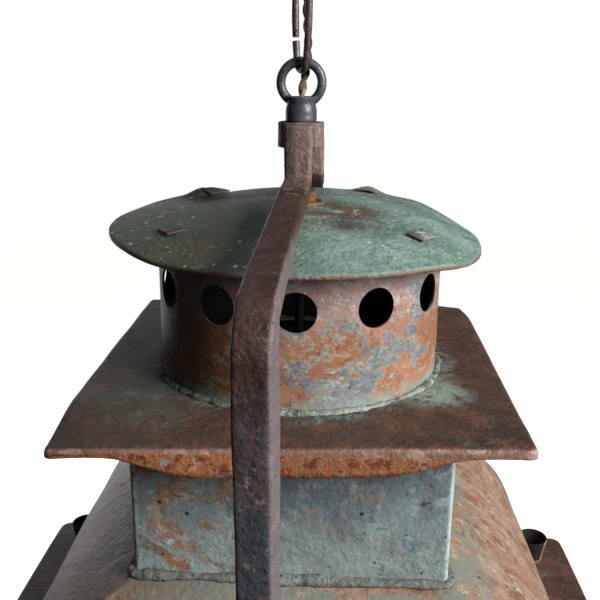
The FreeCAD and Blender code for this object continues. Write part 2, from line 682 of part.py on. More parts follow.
rail("top_rail", up(top_low), up(under_brim), up(f"{under_brim} - rail_thick"))
rail("bottom_rail", up("body_low_up"), up(low_high), up("body_low_up"))
posts = new_body("corner_posts")
post = new_sketch(posts, "post_outline", "XY_Plane", up(low_high))
far, near = "body_half", "body_half - post_thick"
outline(post, [
    (far, far), (far, "body_half - post_wide"), (near, "body_half - post_wide"), (near, near),
    ("body_half - post_wide", near), ("body_half - post_wide", far),
])
around(posts, pad(posts, post, f"({top_low}) - ({low_high})"), 4)
node(posts, "corner_posts")

base = plate("base_plate", square("body_half"), up("body_low_up - base_thick"), up("body_low_up"))
drain = new_sketch(base, "base_vents", "XY_Plane")
circle(drain, "base_vent_place", "0", "base_vent_r")
through(base, drain, count=4)

pane_low, pane_high = up(f"{low_high} + glass_gap"), up(f"{top_low} - glass_gap")
pane_far = "body_half - post_thick - glass_gap"
pane_near = f"{pane_far} - glass_thick"
trim = "body_half - post_wide + 8"
for label, x0, y0, x1, y1 in (
    ("glass_right", pane_near, f"-({trim})", pane_far, trim),
    ("glass_left", f"-({pane_far})", f"-({trim})", f"-({pane_near})", trim),
    ("glass_back", f"-({trim})", pane_near, trim, pane_far),
):
    plate(label, [(x0, y0), (x1, y0), (x1, y1), (x0, y1)], pane_low, pane_high)


def clip_group(turned):
    """Four spring clips that hold one pane: two near the bottom rail and two near the top one."""
    label, role = f"clips_{turned}", "XZ_Plane"
    body = new_body(label)
    springs = new_sketch(body, f"{label}_springs", role, f"-({pane_near}) + clip_thick")
    feet = new_sketch(body, f"{label}_feet", role, f"-({pane_near})")
    for side in ("", "-"):
        x0, x1 = (f"{side}(body_half / 2) {sign} clip_wide / 2" for sign in "-+")
        for height in (f"{low_high} - clip_lap", f"{top_low} - clip_long + clip_lap"):
            rectangle(springs, x0, up(height), x1, up(f"{height} + clip_long"))
        for height in (f"{low_high} - clip_lap", f"{top_low} + clip_lap - clip_foot"):
            rectangle(feet, x0, up(height), x1, up(f"{height} + clip_foot"))
    pad(body, springs, "clip_thick", back=True)
    pad(body, feet, "glass_thick + glass_gap", back=True)
    body.Placement.Rotation = FreeCAD.Rotation(vector(0, 0, 1), turned)
    return body


clip_bodies = [clip_group(turned) for turned in (0, 90, -90)]
clips = doc.addObject("Part::Compound", "glazing_clips")
clips.Links = clip_bodies
node(clips, "glazing_clips")

# ---- door with its pane, hinges and knob ----
door_x = "(body_half - post_wide - door_gap)"
door_low, door_high = up(f"{low_high} + door_gap"), up(f"{top_low} - door_gap")
door = new_body("door_frame")
door_face = new_sketch(door, "door_outline", "XZ_Plane", "body_half - door_thick")
rectangle(door_face, f"-{door_x}", door_low, door_x, door_high)
rectangle(door_face, f"-({door_x} - door_bar)", f"{door_low} + door_bar", f"{door_x} - door_bar",
          f"{door_high} - door_bar")
pad(door, door_face, "door_thick")
doc.recompute()
rebate_sketch = new_sketch(door, "rebate_outline", "XZ_Plane", "body_half - door_thick + glass_thick")
rectangle(rebate_sketch, f"-({door_x} - door_bar + rebate)", f"{door_low} + door_bar - rebate",
          f"{door_x} - door_bar + rebate", f"{door_high} - door_bar + rebate")
whole = door.Shape.Volume
rebate_cut = door.newObject("PartDesign::Pocket", "door_rebate")
rebate_cut.Profile = rebate_sketch
rebate_cut.Type = "ThroughAll"
doc.recompute()
if not 0.5 * whole < door.Shape.Volume < whole - 100:
    raise ValueError("the door's rebate is cut the wrong way")
node(door, "door_frame")

door_pane = new_body("glass_door")
pane = new_sketch(door_pane, "door_pane_outline", "XZ_Plane", "body_half - door_thick")
rectangle(pane, f"-({door_x} - door_bar + rebate - 1)", f"{door_low} + door_bar - rebate + 1",
          f"{door_x} - door_bar + rebate - 1", f"{door_high} - door_bar + rebate - 1")
pad(door_pane, pane, "glass_thick")
node(door_pane, "glass_door")

hinge_x, hinge_y = "-(body_half - post_wide)", "-(body_half + knuckle_off)"
middle_up = f"(({low_high}) + ({top_low})) / 2"


def leaf(body, name, side, low, high):
    """A hinge leaf on the face of the post (side -1) or of the door (side 1), with its knuckle."""
    sketch = new_sketch(body, name, "XY_Plane", low)
    near = f"{hinge_x} + {side} * 0.5"
    rectangle(sketch, near, "-(body_half + leaf_thick)", f"{hinge_x} + {side} * leaf_wide",
              "-body_half")
    return pad(body, sketch, f"({high}) - ({low})")


def knuckles(label, side, spans, bore):
    """Both hinges' leaves and knuckles on one side of the joint, as a group of solids."""
    pieces = []
    for rise in ("hinge_rise", "-hinge_rise"):
        for number, (low, high) in enumerate(spans):
            start, stop = up(f"{middle_up} + {rise} + {low}"), up(f"{middle_up} + {rise} + {high}")
            body = new_body(f"{label}_{rise.strip('-')}_{'low' if '-' in rise else 'high'}_{number}")
            leaf(body, f"{body.Name}_leaf", side, start, stop)
            web = new_sketch(body, f"{body.Name}_web", "XY_Plane", start)
            rectangle(web, f"{hinge_x} + {side} * 0.5", f"{hinge_y}", f"{hinge_x} + {side} * knuckle_r",
                      "-(body_half + leaf_thick - 0.5)")
            pad(body, web, f"({stop}) - ({start})")
            knuckle = new_sketch(body, f"{body.Name}_knuckle", "XY_Plane", start)
            circle(knuckle, hinge_x, hinge_y, "knuckle_r")
            pad(body, knuckle, f"({stop}) - ({start})")
            eye = new_sketch(body, f"{body.Name}_eye", "XY_Plane")
            circle(eye, hinge_x, hinge_y, bore)
            through(body, eye)
            pieces.append(body)
    group = doc.addObject("Part::Compound", label)
    group.Links = pieces
    return node(group, label)


third = "hinge_half / 3"
post_spans = [("-hinge_half", f"-{third} - knuckle_play"), (f"{third} + knuckle_play", "hinge_half")]
knuckles("hinge_leaves_post", -1, post_spans, "pin_r")
knuckles("hinge_leaves_door", 1, [(f"-{third}", third)], "pin_r + pin_play")

pins = []
for rise in ("hinge_rise", "-hinge_rise"):
    pin = doc.addObject("Part::Cylinder", f"pin_{len(pins)}")
    pin.setExpression("Radius", formula("pin_r"))
    pin.setExpression("Height", formula("hinge_half * 2 + 4"))
    place(pin, hinge_x, hinge_y, up(f"{middle_up} + {rise} - hinge_half - 2"))
    pins.append(pin)
pin_group = doc.addObject("Part::Compound", "hinge_pins")
pin_group.Links = pins
node(pin_group, "hinge_pins")


def spun_forward(label, x, z, corners):
    """A piece turned about a line along Y. A corner is (radius, distance forwards)."""
    body = new_body(label)
    sketch = new_sketch(body, f"{label}_profile", "XY_Plane", z)
    outline(sketch, [(f"({x}) + ({r})", f"-({y})") for r, y in corners])
    axis_line(sketch, x, "0", "-body_half")
    turn(body, sketch, "Axis0")
    return node(body, label)


knob_x = "body_half - post_wide - door_gap - door_bar / 2"
knob_z = up(f"{middle_up}")
spun_forward("door_knob", knob_x, knob_z, [
    ("0", "body_half"), ("knob_stem_r", "body_half"), ("knob_stem_r", "body_half + 6"),
    ("knob_r", "body_half + 9"), ("knob_r", "body_half + 12"), ("knob_r - 4", "body_half + 16"),
    ("0", "body_half + 16"),
])

# ---- turn button on the right-hand post ----
button_x, button_z = "body_half - post_wide / 2", up(f"{middle_up} + 50")
button_back = "body_half + button_play"
button = new_body("turn_button")
button_outline = new_sketch(button, "button_outline", "XZ_Plane", button_back)
outline(button_outline, [
    (f"{button_x} - button_wide / 2", f"{button_z} - button_long * 0.7"),
    (f"{button_x} + button_wide / 2", f"{button_z} - button_long * 0.7"),
    (f"{button_x} + button_wide / 2", f"{button_z} + button_long * 0.3"),
    (f"{button_x} - button_wide / 2", f"{button_z} + button_long * 0.3"),
])
circle(button_outline, button_x, button_z, "button_screw_r + pin_play")
pad(button, button_outline, "button_thick")
node(button, "turn_button")
head_back = f"{button_back} + button_thick + button_play"
spun_forward("button_screw", button_x, button_z, [
    ("0", "body_half"), ("button_screw_r", "body_half"), ("button_screw_r", head_back),
    ("button_head_r", head_back), ("button_head_r - 1.5", f"{head_back} + 2.4"),
    ("0", f"{head_back} + 2.4"),
])

# ---- lamp: bracket, stem, holder and bulb ----
neck_in = "neck_half - sheet_thick"
plate("holder_bracket", [
    (f"-({neck_in})", "-bracket_wide / 2"), (neck_in, "-bracket_wide / 2"),
    (neck_in, "bracket_wide / 2"), (f"-({neck_in})", "bracket_wide / 2"),
], up("bracket_up - bracket_thick"), up("bracket_up"), lambda s: circle(s, "0", "0", "stem_r"))
spun("holder_stem", [
    ("stem_bore_r", up("stem_low_up")), ("stem_r", up("stem_low_up")), ("stem_r", up("bracket_up + 8")),
    ("stem_bore_r", up("bracket_up + 8")),
])
nut("stem_nut", "lock_nut_flats", up("bracket_up"), up("bracket_up + 6"), "stem_r")
holder_low = "stem_low_up - holder_tall"
spun("lamp_holder", [
    ("0", up("stem_low_up")), ("10", up("stem_low_up")), ("holder_r - 4", up("stem_low_up - 12")),
    ("holder_r", up("stem_low_up - 20")), ("holder_r", up(holder_low)),
    ("bulb_base_r", up(holder_low)), ("bulb_base_r", up(f"{holder_low} + bulb_base_tall")),
    ("0", up(f"{holder_low} + bulb_base_tall")),
])
base_high = up(f"{holder_low} + bulb_base_tall - bulb_play")
neck_low = f"({holder_low} - 4)"
spun("bulb_base", [
    ("0", base_high), ("bulb_base_r - bulb_play", base_high),
    ("bulb_base_r - bulb_play", up(neck_low)), ("0", up(neck_low)),
])
globe_up = f"({neck_low} - 18 - bulb_r)"
bulb_touch = "sqrt(bulb_r^2 - bulb_neck_r^2)"
inner_r = "(bulb_r - bulb_wall)"
inner_touch = f"sqrt({inner_r}^2 - (bulb_neck_r - bulb_wall)^2)"
spun("bulb_glass", [
    ("bulb_base_r - 1.2", up(neck_low)), ("bulb_neck_r", up(f"{neck_low} - 6")),
    ("bulb_neck_r", up(f"{globe_up} + {bulb_touch}"), "bulb_r"), ("bulb_r", up(globe_up), "bulb_r"),
    ("0", up(f"{globe_up} - bulb_r")), ("0", up(f"{globe_up} - {inner_r}"), f"-{inner_r}"),
    (inner_r, up(globe_up), f"-{inner_r}"),
    ("bulb_neck_r - bulb_wall", up(f"{globe_up} + {inner_touch}")),
    ("bulb_neck_r - bulb_wall", up(f"{neck_low} - 6.5")), ("bulb_base_r - 2.2", up(neck_low)),
])

doc.recompute()
os.makedirs("parts", exist_ok=True)
for thing in nodes:
    if "Invalid" in thing.State or "Error" in thing.State:
        raise ValueError(f"{thing.Label} is {thing.State}")
    if thing.Shape.isNull() or not thing.Shape.isValid():
        raise ValueError(f"{thing.Label} has a bad shape")
    thing.Shape.exportStep(f"parts/{thing.Label}.step")
    print(thing.Label, len(thing.Shape.Solids), round(thing.Shape.Volume, 1))
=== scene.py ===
import json
import math

import bpy
from mathutils import Matrix, Vector, noise


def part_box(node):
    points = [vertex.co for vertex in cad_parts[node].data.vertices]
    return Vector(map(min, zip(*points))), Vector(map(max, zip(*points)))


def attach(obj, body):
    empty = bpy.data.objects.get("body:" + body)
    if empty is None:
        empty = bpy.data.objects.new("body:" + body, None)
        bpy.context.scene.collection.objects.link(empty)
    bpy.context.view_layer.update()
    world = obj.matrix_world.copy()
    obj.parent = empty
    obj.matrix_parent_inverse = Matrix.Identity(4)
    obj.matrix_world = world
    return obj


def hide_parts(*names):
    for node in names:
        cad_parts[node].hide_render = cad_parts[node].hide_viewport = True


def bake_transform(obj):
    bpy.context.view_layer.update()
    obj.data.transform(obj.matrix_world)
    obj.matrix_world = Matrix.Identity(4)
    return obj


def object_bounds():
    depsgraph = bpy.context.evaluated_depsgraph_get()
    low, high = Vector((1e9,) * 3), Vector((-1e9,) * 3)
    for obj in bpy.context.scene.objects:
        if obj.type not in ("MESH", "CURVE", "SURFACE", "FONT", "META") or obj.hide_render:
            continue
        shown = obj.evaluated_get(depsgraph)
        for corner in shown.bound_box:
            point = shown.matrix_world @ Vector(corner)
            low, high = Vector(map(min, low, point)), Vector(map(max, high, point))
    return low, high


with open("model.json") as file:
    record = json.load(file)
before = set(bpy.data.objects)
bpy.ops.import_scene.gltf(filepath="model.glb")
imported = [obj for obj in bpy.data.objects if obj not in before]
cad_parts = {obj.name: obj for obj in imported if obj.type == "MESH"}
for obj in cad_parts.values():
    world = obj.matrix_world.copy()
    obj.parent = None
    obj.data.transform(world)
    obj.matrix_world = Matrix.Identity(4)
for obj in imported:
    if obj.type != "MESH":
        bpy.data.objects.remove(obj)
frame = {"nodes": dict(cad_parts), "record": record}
cad_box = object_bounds()

MM = 0.001
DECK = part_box("upper_deck")[1].z  # height of the upper square plate's top face


def up(height_mm):
    """A height above the upper plate, given in millimetres, in the frame's metres."""
    return DECK + height_mm * MM


# ---- camera ----
CAMERA_PLACE = Vector((0.0260, -0.6016, -0.1335))
CAMERA_YAW, CAMERA_PITCH, CAMERA_ROLL = 0.0424, 0.2873, 0.0096
LENS_MM, SENSOR_MM = 48.18, 36.0


def make_camera():
    level = Vector((-math.sin(CAMERA_YAW), math.cos(CAMERA_YAW), 0))
    right = Vector((math.cos(CAMERA_YAW), math.sin(CAMERA_YAW), 0))
    ahead = level * math.cos(CAMERA_PITCH) - Vector((0, 0, 1)) * math.sin(CAMERA_PITCH)
    over = level * math.sin(CAMERA_PITCH) + Vector((0, 0, 1)) * math.cos(CAMERA_PITCH)
    roll_c, roll_s = math.cos(CAMERA_ROLL), math.sin(CAMERA_ROLL)
    side, top = right * roll_c + over * roll_s, over * roll_c - right * roll_s
    data = bpy.data.cameras.new("camera")
    data.lens, data.sensor_width = LENS_MM, SENSOR_MM
    data.clip_start, data.clip_end = 0.02, 60
    camera = bpy.data.objects.new("camera", data)
    camera.matrix_world = Matrix.Translation(CAMERA_PLACE) @ Matrix(
        (side, top, -ahead)).transposed().to_4x4()
    bpy.context.collection.objects.link(camera)
    bpy.context.scene.camera = camera


make_camera()


# ---- mesh helpers ----
def mesh_piece(name, points, faces, body, *nodes, smooth=True):
    """A mesh object that stands for CAD nodes. It rides on a body, if one is given."""
    mesh = bpy.data.meshes.new(name)
    mesh.from_pydata([tuple(p) for p in points], [], faces)
    mesh.validate()
    mesh.polygons.foreach_set("use_smooth", [smooth] * len(mesh.polygons))
    piece = bpy.data.objects.new(name, mesh)
    bpy.context.collection.objects.link(piece)
    if nodes:
        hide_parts(*nodes)
    if body:
        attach(piece, body)
    return piece


def loft(rings, ends=False, wrap=False):
    """Points and faces of a skin through closed rings that have the same number of points."""
    count = len(rings[0])
    points = [p for ring in rings for p in ring]
    spans = [(i, i + 1) for i in range(len(rings) - 1)]
    if wrap:
        spans.append((len(rings) - 1, 0))
    sides = [(j, (j + 1) % count) for j in range(count)]
    faces = [(a * count + j, a * count + k, b * count + k, b * count + j)
             for a, b in spans for j, k in sides]
    if ends:
        last = (len(rings) - 1) * count
        faces += [tuple(reversed(range(count))), tuple(range(last, last + count))]
    return points, faces


def circle_ring(radius, z, count, turn=0.0):
    angles = (turn + 2 * math.pi * i / count for i in range(count))
    return [Vector((radius * math.cos(a), radius * math.sin(a), z)) for a in angles]


SIDE_POINTS = 72


def square_ring(half, z, corner=0.0):
    """A square with round corners, its points closer together near the corners."""
    ring = []
    for side in range(4):
        turned = Matrix.Rotation(side * math.pi / 2, 3, "Z")
        for i in range(SIDE_POINTS):
            along = math.sin((i / SIDE_POINTS - 0.5) * math.pi) * half
            x, y = half, along
            edge = half - corner
            if corner and abs(y) > edge:
                off = Vector((corner, abs(y) - edge, 0))
                off *= corner / off.length
                x, y = edge + off.x, math.copysign(edge + off.y, y)
            ring.append(turned @ Vector((x, y, z)))
    return ring


def swollen(point, half, out):
    """A point on a square of that half width, moved outwards."""
    grow = 1 + out / half
    return Vector((point.x * grow, point.y * grow, point.z))


def between(ring_a, ring_b, part):
    return [a.lerp(b, part) for a, b in zip(ring_a, ring_b)]


def ripple(point, size, octaves=3, seed=0.0):
    """Smooth noise between about -1 and 1, with bumps of the given size in metres."""
    return noise.fractal(point / size + Vector((seed, seed * 0.7, -seed)), 1.0, 2.0, octaves)


def smooth_step(low, high, x):
    part = min(1.0, max(0.0, (x - low) / (high - low)))
    return part * part * (3 - 2 * part)


def thicken(piece, thick, offset=-1.0):
    """Gives a skin the thickness of its sheet: inwards, or to both sides with offset 0."""
    sheet = piece.modifiers.new("thickness", "SOLIDIFY")
    sheet.thickness, sheet.offset = thick, offset


SHARP_DEGREES = 35


def soft_edges(piece, width):
    bevel = piece.modifiers.new("edges", "BEVEL")
    bevel.width, bevel.segments, bevel.limit_method = width, 2, "ANGLE"
    bevel.angle_limit = math.radians(SHARP_DEGREES)
    bevel.use_clamp_overlap = True


def recast(name, node, body, voxel, smoothing, dents, bend):
    """A CAD piece as a casting or a forging: edges rounded, surface uneven.

    dents is a list of (bump size, depth) in metres. bend, if there is one, gives how far a
    spot moves along X."""
    source = frame["nodes"][node]
    mesh = source.data.copy()
    piece = bpy.data.objects.new(name, mesh)
    bpy.context.collection.objects.link(piece)
    remesh = piece.modifiers.new("remesh", "REMESH")
    remesh.mode, remesh.voxel_size = "VOXEL", voxel
    smooth = piece.modifiers.new("smooth", "SMOOTH")
    smooth.factor, smooth.iterations = 0.5, smoothing
    graph = bpy.context.evaluated_depsgraph_get()
    cast = bpy.data.meshes.new_from_object(piece.evaluated_get(graph))
    piece.modifiers.clear()
    piece.data = cast
    cast.name = name
    cast.polygons.foreach_set("use_smooth", [True] * len(cast.polygons))
    spots = [v.co.copy() for v in cast.vertices]
    normals = [v.normal.copy() for v in cast.vertices]
    for vertex, spot, normal in zip(cast.vertices, spots, normals):
        shift = sum(ripple(spot, size, 2, size * 900) * depth for size, depth in dents)
        aside = bend(spot) if bend else 0
        vertex.co = spot + normal * shift + Vector((aside, 0, 0))
    cast.materials.clear()
    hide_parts(node)
    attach(piece, body)
    return piece


# ---- materials ----
def tint(code):
    """A colour written as six hexadecimal digits, in the shader's linear values."""
    parts = [int(code[i:i + 2], 16) / 255 for i in (0, 2, 4)]
    return [c / 12.92 if c < 0.04045 else ((c + 0.055) / 1.055) ** 2.4 for c in parts] + [1.0]


# The Mix node's sockets: how much of the second value, then two values in and the result out.
MIX_SHARE = 0
NUMBERS_IN, NUMBER_OUT = (2, 3), 0
COLOURS_IN, COLOUR_OUT = (6, 7), 2


class Finish:
    """A procedural material, built up in layers of colour, gloss and relief."""

    def __init__(self, name, colour, rough=0.6, metal=0.0):
        self.material = bpy.data.materials.new(name)
        self.material.use_nodes = True
        self.tree = self.material.node_tree
        self.shader = self.tree.nodes["Principled BSDF"]
        self.shader.inputs["Metallic"].default_value = metal
        coords = self.tree.nodes.new("ShaderNodeTexCoord")
        self.place, self.normal = coords.outputs["Object"], coords.outputs["Normal"]
        self.colour, self.rough, self.relief = tint(colour), rough, None

    def feed(self, node, socket, value):
        if isinstance(value, bpy.types.NodeSocket):
            self.tree.links.new(value, node.inputs[socket])
        else:
            node.inputs[socket].default_value = value

    def maths(self, operation, a, b=0.0):
        node = self.tree.nodes.new("ShaderNodeMath")
        node.operation = operation
        self.feed(node, 0, a)
        self.feed(node, 1, b)
        return node.outputs[0]

    def band(self, value, low, high):
        """0 below low, 1 above high, smooth between. low may be the larger one."""
        node = self.tree.nodes.new("ShaderNodeMapRange")
        node.interpolation_type = "SMOOTHSTEP"
        self.feed(node, "Value", value)
        node.inputs["From Min"].default_value = min(low, high)
        node.inputs["From Max"].default_value = max(low, high)
        if low > high:
            node.inputs["To Min"].default_value, node.inputs["To Max"].default_value = 1.0, 0.0
        return node.outputs[0]

    def spot_map(self, seed, stretch):
        node = self.tree.nodes.new("ShaderNodeMapping")
        self.feed(node, "Vector", self.place)
        node.inputs["Location"].default_value = (seed, seed * 0.37, -seed * 0.61)
        node.inputs["Scale"].default_value = stretch
        return node.outputs[0]

    def noise(self, scale, seed=0.0, detail=6.0, rough=0.6, warp=0.0, stretch=(1, 1, 1)):
        node = self.tree.nodes.new("ShaderNodeTexNoise")
        self.feed(node, "Vector", self.spot_map(seed, stretch))
        for socket, value in (("Scale", scale), ("Detail", detail), ("Roughness", rough),
                              ("Distortion", warp)):
            node.inputs[socket].default_value = value
        return node.outputs["Fac"]

    def patches(self, scale, low, high, **more):
        return self.band(self.noise(scale, **more), low, high)

    def dots(self, scale, size, seed=0.0, stretch=(1, 1, 1)):
        """Small round spots, one to a cell, that fade at their edges."""
        node = self.tree.nodes.new("ShaderNodeTexVoronoi")
        self.feed(node, "Vector", self.spot_map(seed, stretch))
        node.inputs["Scale"].default_value = scale
        return self.band(node.outputs["Distance"], size, size * 0.45)

    def axis(self, socket, axis):
        node = self.tree.nodes.new("ShaderNodeSeparateXYZ")
        self.feed(node, 0, socket)
        return node.outputs["XYZ".index(axis)]

    def along(self, axis, low, high):
        """A mask that grows along an axis between two places in metres."""
        return self.band(self.axis(self.place, axis), low, high)

    def facing(self, axis, low, high):
        """A mask by how far the surface faces along an axis."""
        return self.band(self.axis(self.normal, axis), low, high)

    def near(self, x, y, z, radius, soft):
        """A round mask about a place, with an edge soft times as wide as its radius."""
        node = self.tree.nodes.new("ShaderNodeVectorMath")
        node.operation = "DISTANCE"
        self.feed(node, 0, self.place)
        node.inputs[1].default_value = (x, y, z)
        return self.band(node.outputs["Value"], radius * (1 + soft), radius * (1 - soft))

    def inward(self):
        """A mask for faces that look back at the lantern's axis."""
        flat = self.tree.nodes.new("ShaderNodeVectorMath")
        flat.operation = "MULTIPLY"
        self.feed(flat, 0, self.place)
        flat.inputs[1].default_value = (1, 1, 0)
        node = self.tree.nodes.new("ShaderNodeVectorMath")
        node.operation = "DOT_PRODUCT"
        self.feed(node, 0, flat.outputs[0])
        self.feed(node, 1, self.normal)
        return self.band(node.outputs["Value"], 0.0, -0.01)

    def both(self, *masks):
        result = masks[0]
        for mask in masks[1:]:
            result = self.maths("MULTIPLY", result, mask)
        return result

    def either(self, a, b):
        return self.maths("MAXIMUM", a, b)

    def part(self, mask, amount):
        return self.maths("MULTIPLY", mask, amount)

    def layer(self, mask, colour=None, rough=None, lift=0.0):
        """Lays a colour over the mask, with its own gloss, raised by lift or sunk."""
        if colour:
            node = self.tree.nodes.new("ShaderNodeMix")
            node.data_type = "RGBA"
            self.feed(node, MIX_SHARE, mask)
            for socket, value in zip(COLOURS_IN, (self.colour, tint(colour))):
                self.feed(node, socket, value)
            self.colour = node.outputs[COLOUR_OUT]
        if rough is not None:
            node = self.tree.nodes.new("ShaderNodeMix")
            self.feed(node, MIX_SHARE, mask)
            for socket, value in zip(NUMBERS_IN, (self.rough, rough)):
                self.feed(node, socket, value)
            self.rough = node.outputs[NUMBER_OUT]
        if lift:
            step = self.maths("MULTIPLY", mask, lift)
            self.relief = step if self.relief is None else self.maths("ADD", self.relief, step)
        return self

    def done(self, depth=0.001, strength=0.6):
        """Wires the layers into the shader. A relief of 1 looks depth metres tall."""
        self.feed(self.shader, "Base Color", self.colour)
        self.feed(self.shader, "Roughness", self.rough)
        if self.relief is not None:
            bump = self.tree.nodes.new("ShaderNodeBump")
            bump.inputs["Strength"].default_value = strength
            bump.inputs["Distance"].default_value = depth
            self.feed(bump, "Height", self.relief)
            self.feed(self.shader, "Normal", bump.outputs[0])
        return self.material


def verdigris_copper():
    """The cap: pale green at its front right, olive brown at its left, partly painted shade, bare
    at its crown.
    """
    f = Finish("verdigris_copper", "728a80", rough=0.66)
    f.layer(f.patches(14, 0.40, 0.62, seed=1, warp=0.8), "849f95", 0.7)
    f.layer(f.patches(11, 0.48, 0.64, seed=2, warp=1.2), "5f7d70", 0.6)
    f.layer(f.part(f.patches(34, 0.50, 0.60, seed=23, rough=0.8), 0.45), "9db5ab", 0.75, 0.2)
    f.layer(f.patches(70, 0.52, 0.62, seed=3, rough=0.85), "6a7f76", 0.7, -0.2)
    # Olive brown over the cap's left: partly the copper's own colour, partly painted shade.
    dark = f.along("X", 0.025, -0.075)
    f.layer(f.part(dark, 0.95), "4b4f3f", 0.6)
    f.layer(f.both(dark, f.patches(30, 0.44, 0.60, seed=4, rough=0.8)), "4b5c4b")
    f.layer(f.both(dark, f.patches(20, 0.50, 0.64, seed=24, rough=0.8)), "6b5f4b", 0.6)
    f.layer(f.both(f.along("Y", -0.01, 0.08), f.patches(24, 0.40, 0.56, seed=5, rough=0.75)),
            "6f7a72", 0.6)
    f.layer(f.both(f.along("Y", -0.03, 0.05), f.along("X", 0.02, -0.03),
                   f.patches(20, 0.40, 0.58, seed=25, stretch=(1, 2.2, 1), rough=0.8)),
            "4a3b31", 0.5)
    crown = f.near(0.022, -0.028, up(125), 0.040, 0.6)
    f.layer(f.both(crown, f.patches(42, 0.46, 0.56, seed=6, warp=1.0)), "6a574b", 0.5, -0.2)
    f.layer(f.both(crown, f.patches(90, 0.58, 0.64, seed=7)), "a99a90", 0.6, 0.2)
    f.layer(f.part(f.near(0.033, -0.058, up(122), 0.014, 0.7), 0.85), "4a433d", 0.5)
    f.layer(f.part(f.near(0.055, -0.066, up(121), 0.016, 0.8), 0.35), "5e5f5a", 0.5)
    f.layer(f.both(f.patches(30, 0.60, 0.70, seed=8, stretch=(1, 3, 1)), dark), "8a7c68", 0.55)
    for seed, stretch in ((9, (1, 7, 1)), (19, (6, 1.5, 1))):
        f.layer(f.patches(80, 0.63, 0.69, seed=seed, stretch=stretch, rough=0.75),
                "adc0b7", 0.8, 0.3)
    f.layer(f.patches(150, 0.64, 0.72, seed=29, detail=3), "bccdc4", 0.8, 0.3)
    f.layer(f.dots(55, 0.10, seed=3), "33352c", 0.6, -0.5)
    f.layer(f.dots(34, 0.07, seed=13), "c2d0c8", 0.8, 0.5)
    f.layer(f.both(f.facing("Z", 0.72, 0.4), f.patches(30, 0.30, 0.5, seed=11)), "876a5c", 0.5)
    f.layer(f.patches(220, 0.3, 0.7, seed=12, detail=3), lift=0.7)
    f.layer(f.patches(60, 0.3, 0.7, seed=13, rough=0.8), lift=1.0)
    return f.done(0.0010, 0.75)


def mottled_copper():
    """The drum: pink above, rust below, with flakes of slate paint and verdigris round them.
    Darker at its left, partly brown copper and partly painted shade; its inside painted near
    black as shade.
    """
    f = Finish("mottled_copper", "96664c", rough=0.58)
    f.layer(f.patches(30, 0.40, 0.60, seed=1, rough=0.8), "ad8067", 0.6)
    f.layer(f.patches(22, 0.46, 0.60, seed=21, rough=0.8), "84492f", 0.5)
    f.layer(f.patches(60, 0.52, 0.62, seed=22, rough=0.85), "a57049", 0.55)
    f.layer(f.patches(45, 0.54, 0.64, seed=23, rough=0.85), "8d7365", 0.6)
    low = f.along("Z", up(62), up(38))
    f.layer(f.both(low, f.patches(26, 0.45, 0.60, seed=24, rough=0.8)), "985f38", 0.6)
    upper = f.along("Z", up(48), up(76))
    f.layer(f.both(upper, f.patches(24, 0.26, 0.56, seed=2, rough=0.8)), "a3857e", 0.6)
    f.layer(f.both(upper, f.patches(60, 0.50, 0.62, seed=9, rough=0.9)), "c0aeab", 0.7, 0.2)
    f.layer(f.both(upper, f.patches(150, 0.58, 0.64, seed=19, rough=0.8)), "d8cfc9", 0.7, 0.2)
    f.layer(f.both(f.along("Z", up(80), up(96)), f.patches(30, 0.44, 0.52, seed=3, rough=0.8)),
            "77727a", 0.6, 0.2)
    for scale, seed, edge in ((15, 4, 0.552), (24, 41, 0.582)):
        flakes = dict(seed=seed, warp=0.35, rough=0.75, stretch=(1, 1, 1.6), detail=10)
        halo = f.patches(scale, edge - 0.03, edge, **flakes)
        slate = f.patches(scale, edge, edge + 0.012, **flakes)
        f.layer(f.both(halo, f.patches(50, 0.40, 0.52, seed=26)), "a9ab9c", 0.75, 0.3)
        f.layer(slate, "83848c", 0.5, 0.5)
        f.layer(f.both(slate, f.patches(40, 0.46, 0.62, seed=5, rough=0.8)), "6b6e77", 0.5)
        f.layer(f.both(slate, f.patches(26, 0.54, 0.62, seed=15, rough=0.8)), "a2a6a2", 0.7)
    f.layer(f.patches(34, 0.57, 0.60, seed=6, rough=0.8, stretch=(1, 1, 2.2), detail=10),
            "a5ad9f", 0.75, 0.5)
    f.layer(f.patches(80, 0.60, 0.64, seed=7, rough=0.85, stretch=(1, 1, 1.8)),
            "b8bcae", 0.8, 0.5)
    f.layer(f.patches(120, 0.60, 0.65, seed=17, rough=0.85), "5b3826", 0.6, -0.4)
    # Darker towards the left: partly dark brown copper, partly painted shade and painted shadow
    # of the yoke.
    f.layer(f.part(f.along("X", -0.015, -0.075), 0.8), "45311f", 0.5)
    f.layer(f.both(f.along("Z", up(14), up(2)), f.patches(40, 0.40, 0.56, seed=31, rough=0.8)),
            "8b998f", 0.8, 0.4)
    f.layer(f.dots(60, 0.07, seed=5), "4a382d", 0.6, -0.5)
    f.layer(f.patches(200, 0.3, 0.7, seed=10, detail=3), lift=0.5)
    # The inside faces, seen through the holes, are painted near black as shade.
    f.layer(f.inward(), "0b0a09", 0.9)
    return f.done(0.0007, 0.7)


def solder():
    """Lumpy grey-green beads."""
    f = Finish("solder", "84867c", rough=0.75)
    f.layer(f.patches(45, 0.42, 0.54, seed=1, rough=0.8), "99a89e", 0.8, 0.4)
    f.layer(f.patches(34, 0.48, 0.58, seed=2, rough=0.8), "5c5a51", 0.65, -0.4)
    f.layer(f.patches(60, 0.54, 0.62, seed=3, rough=0.8), "86705f", 0.6)
    f.layer(f.patches(110, 0.56, 0.62, seed=5, rough=0.8), "b4c2b9", 0.8, 0.5)
    # Darker towards the left: painted shade.
    f.layer(f.part(f.along("X", 0.01, -0.08), 0.75), "453f36", 0.65)
    f.layer(f.part(f.along("Z", up(-60), up(-100)), 0.65), "6f746f", 0.75)
    f.layer(f.dots(120, 0.16, seed=1), "34332e", 0.7, -0.8)
    f.layer(f.patches(190, 0.3, 0.7, seed=4, detail=4), lift=1.0)
    return f.done(0.0011, 0.85)


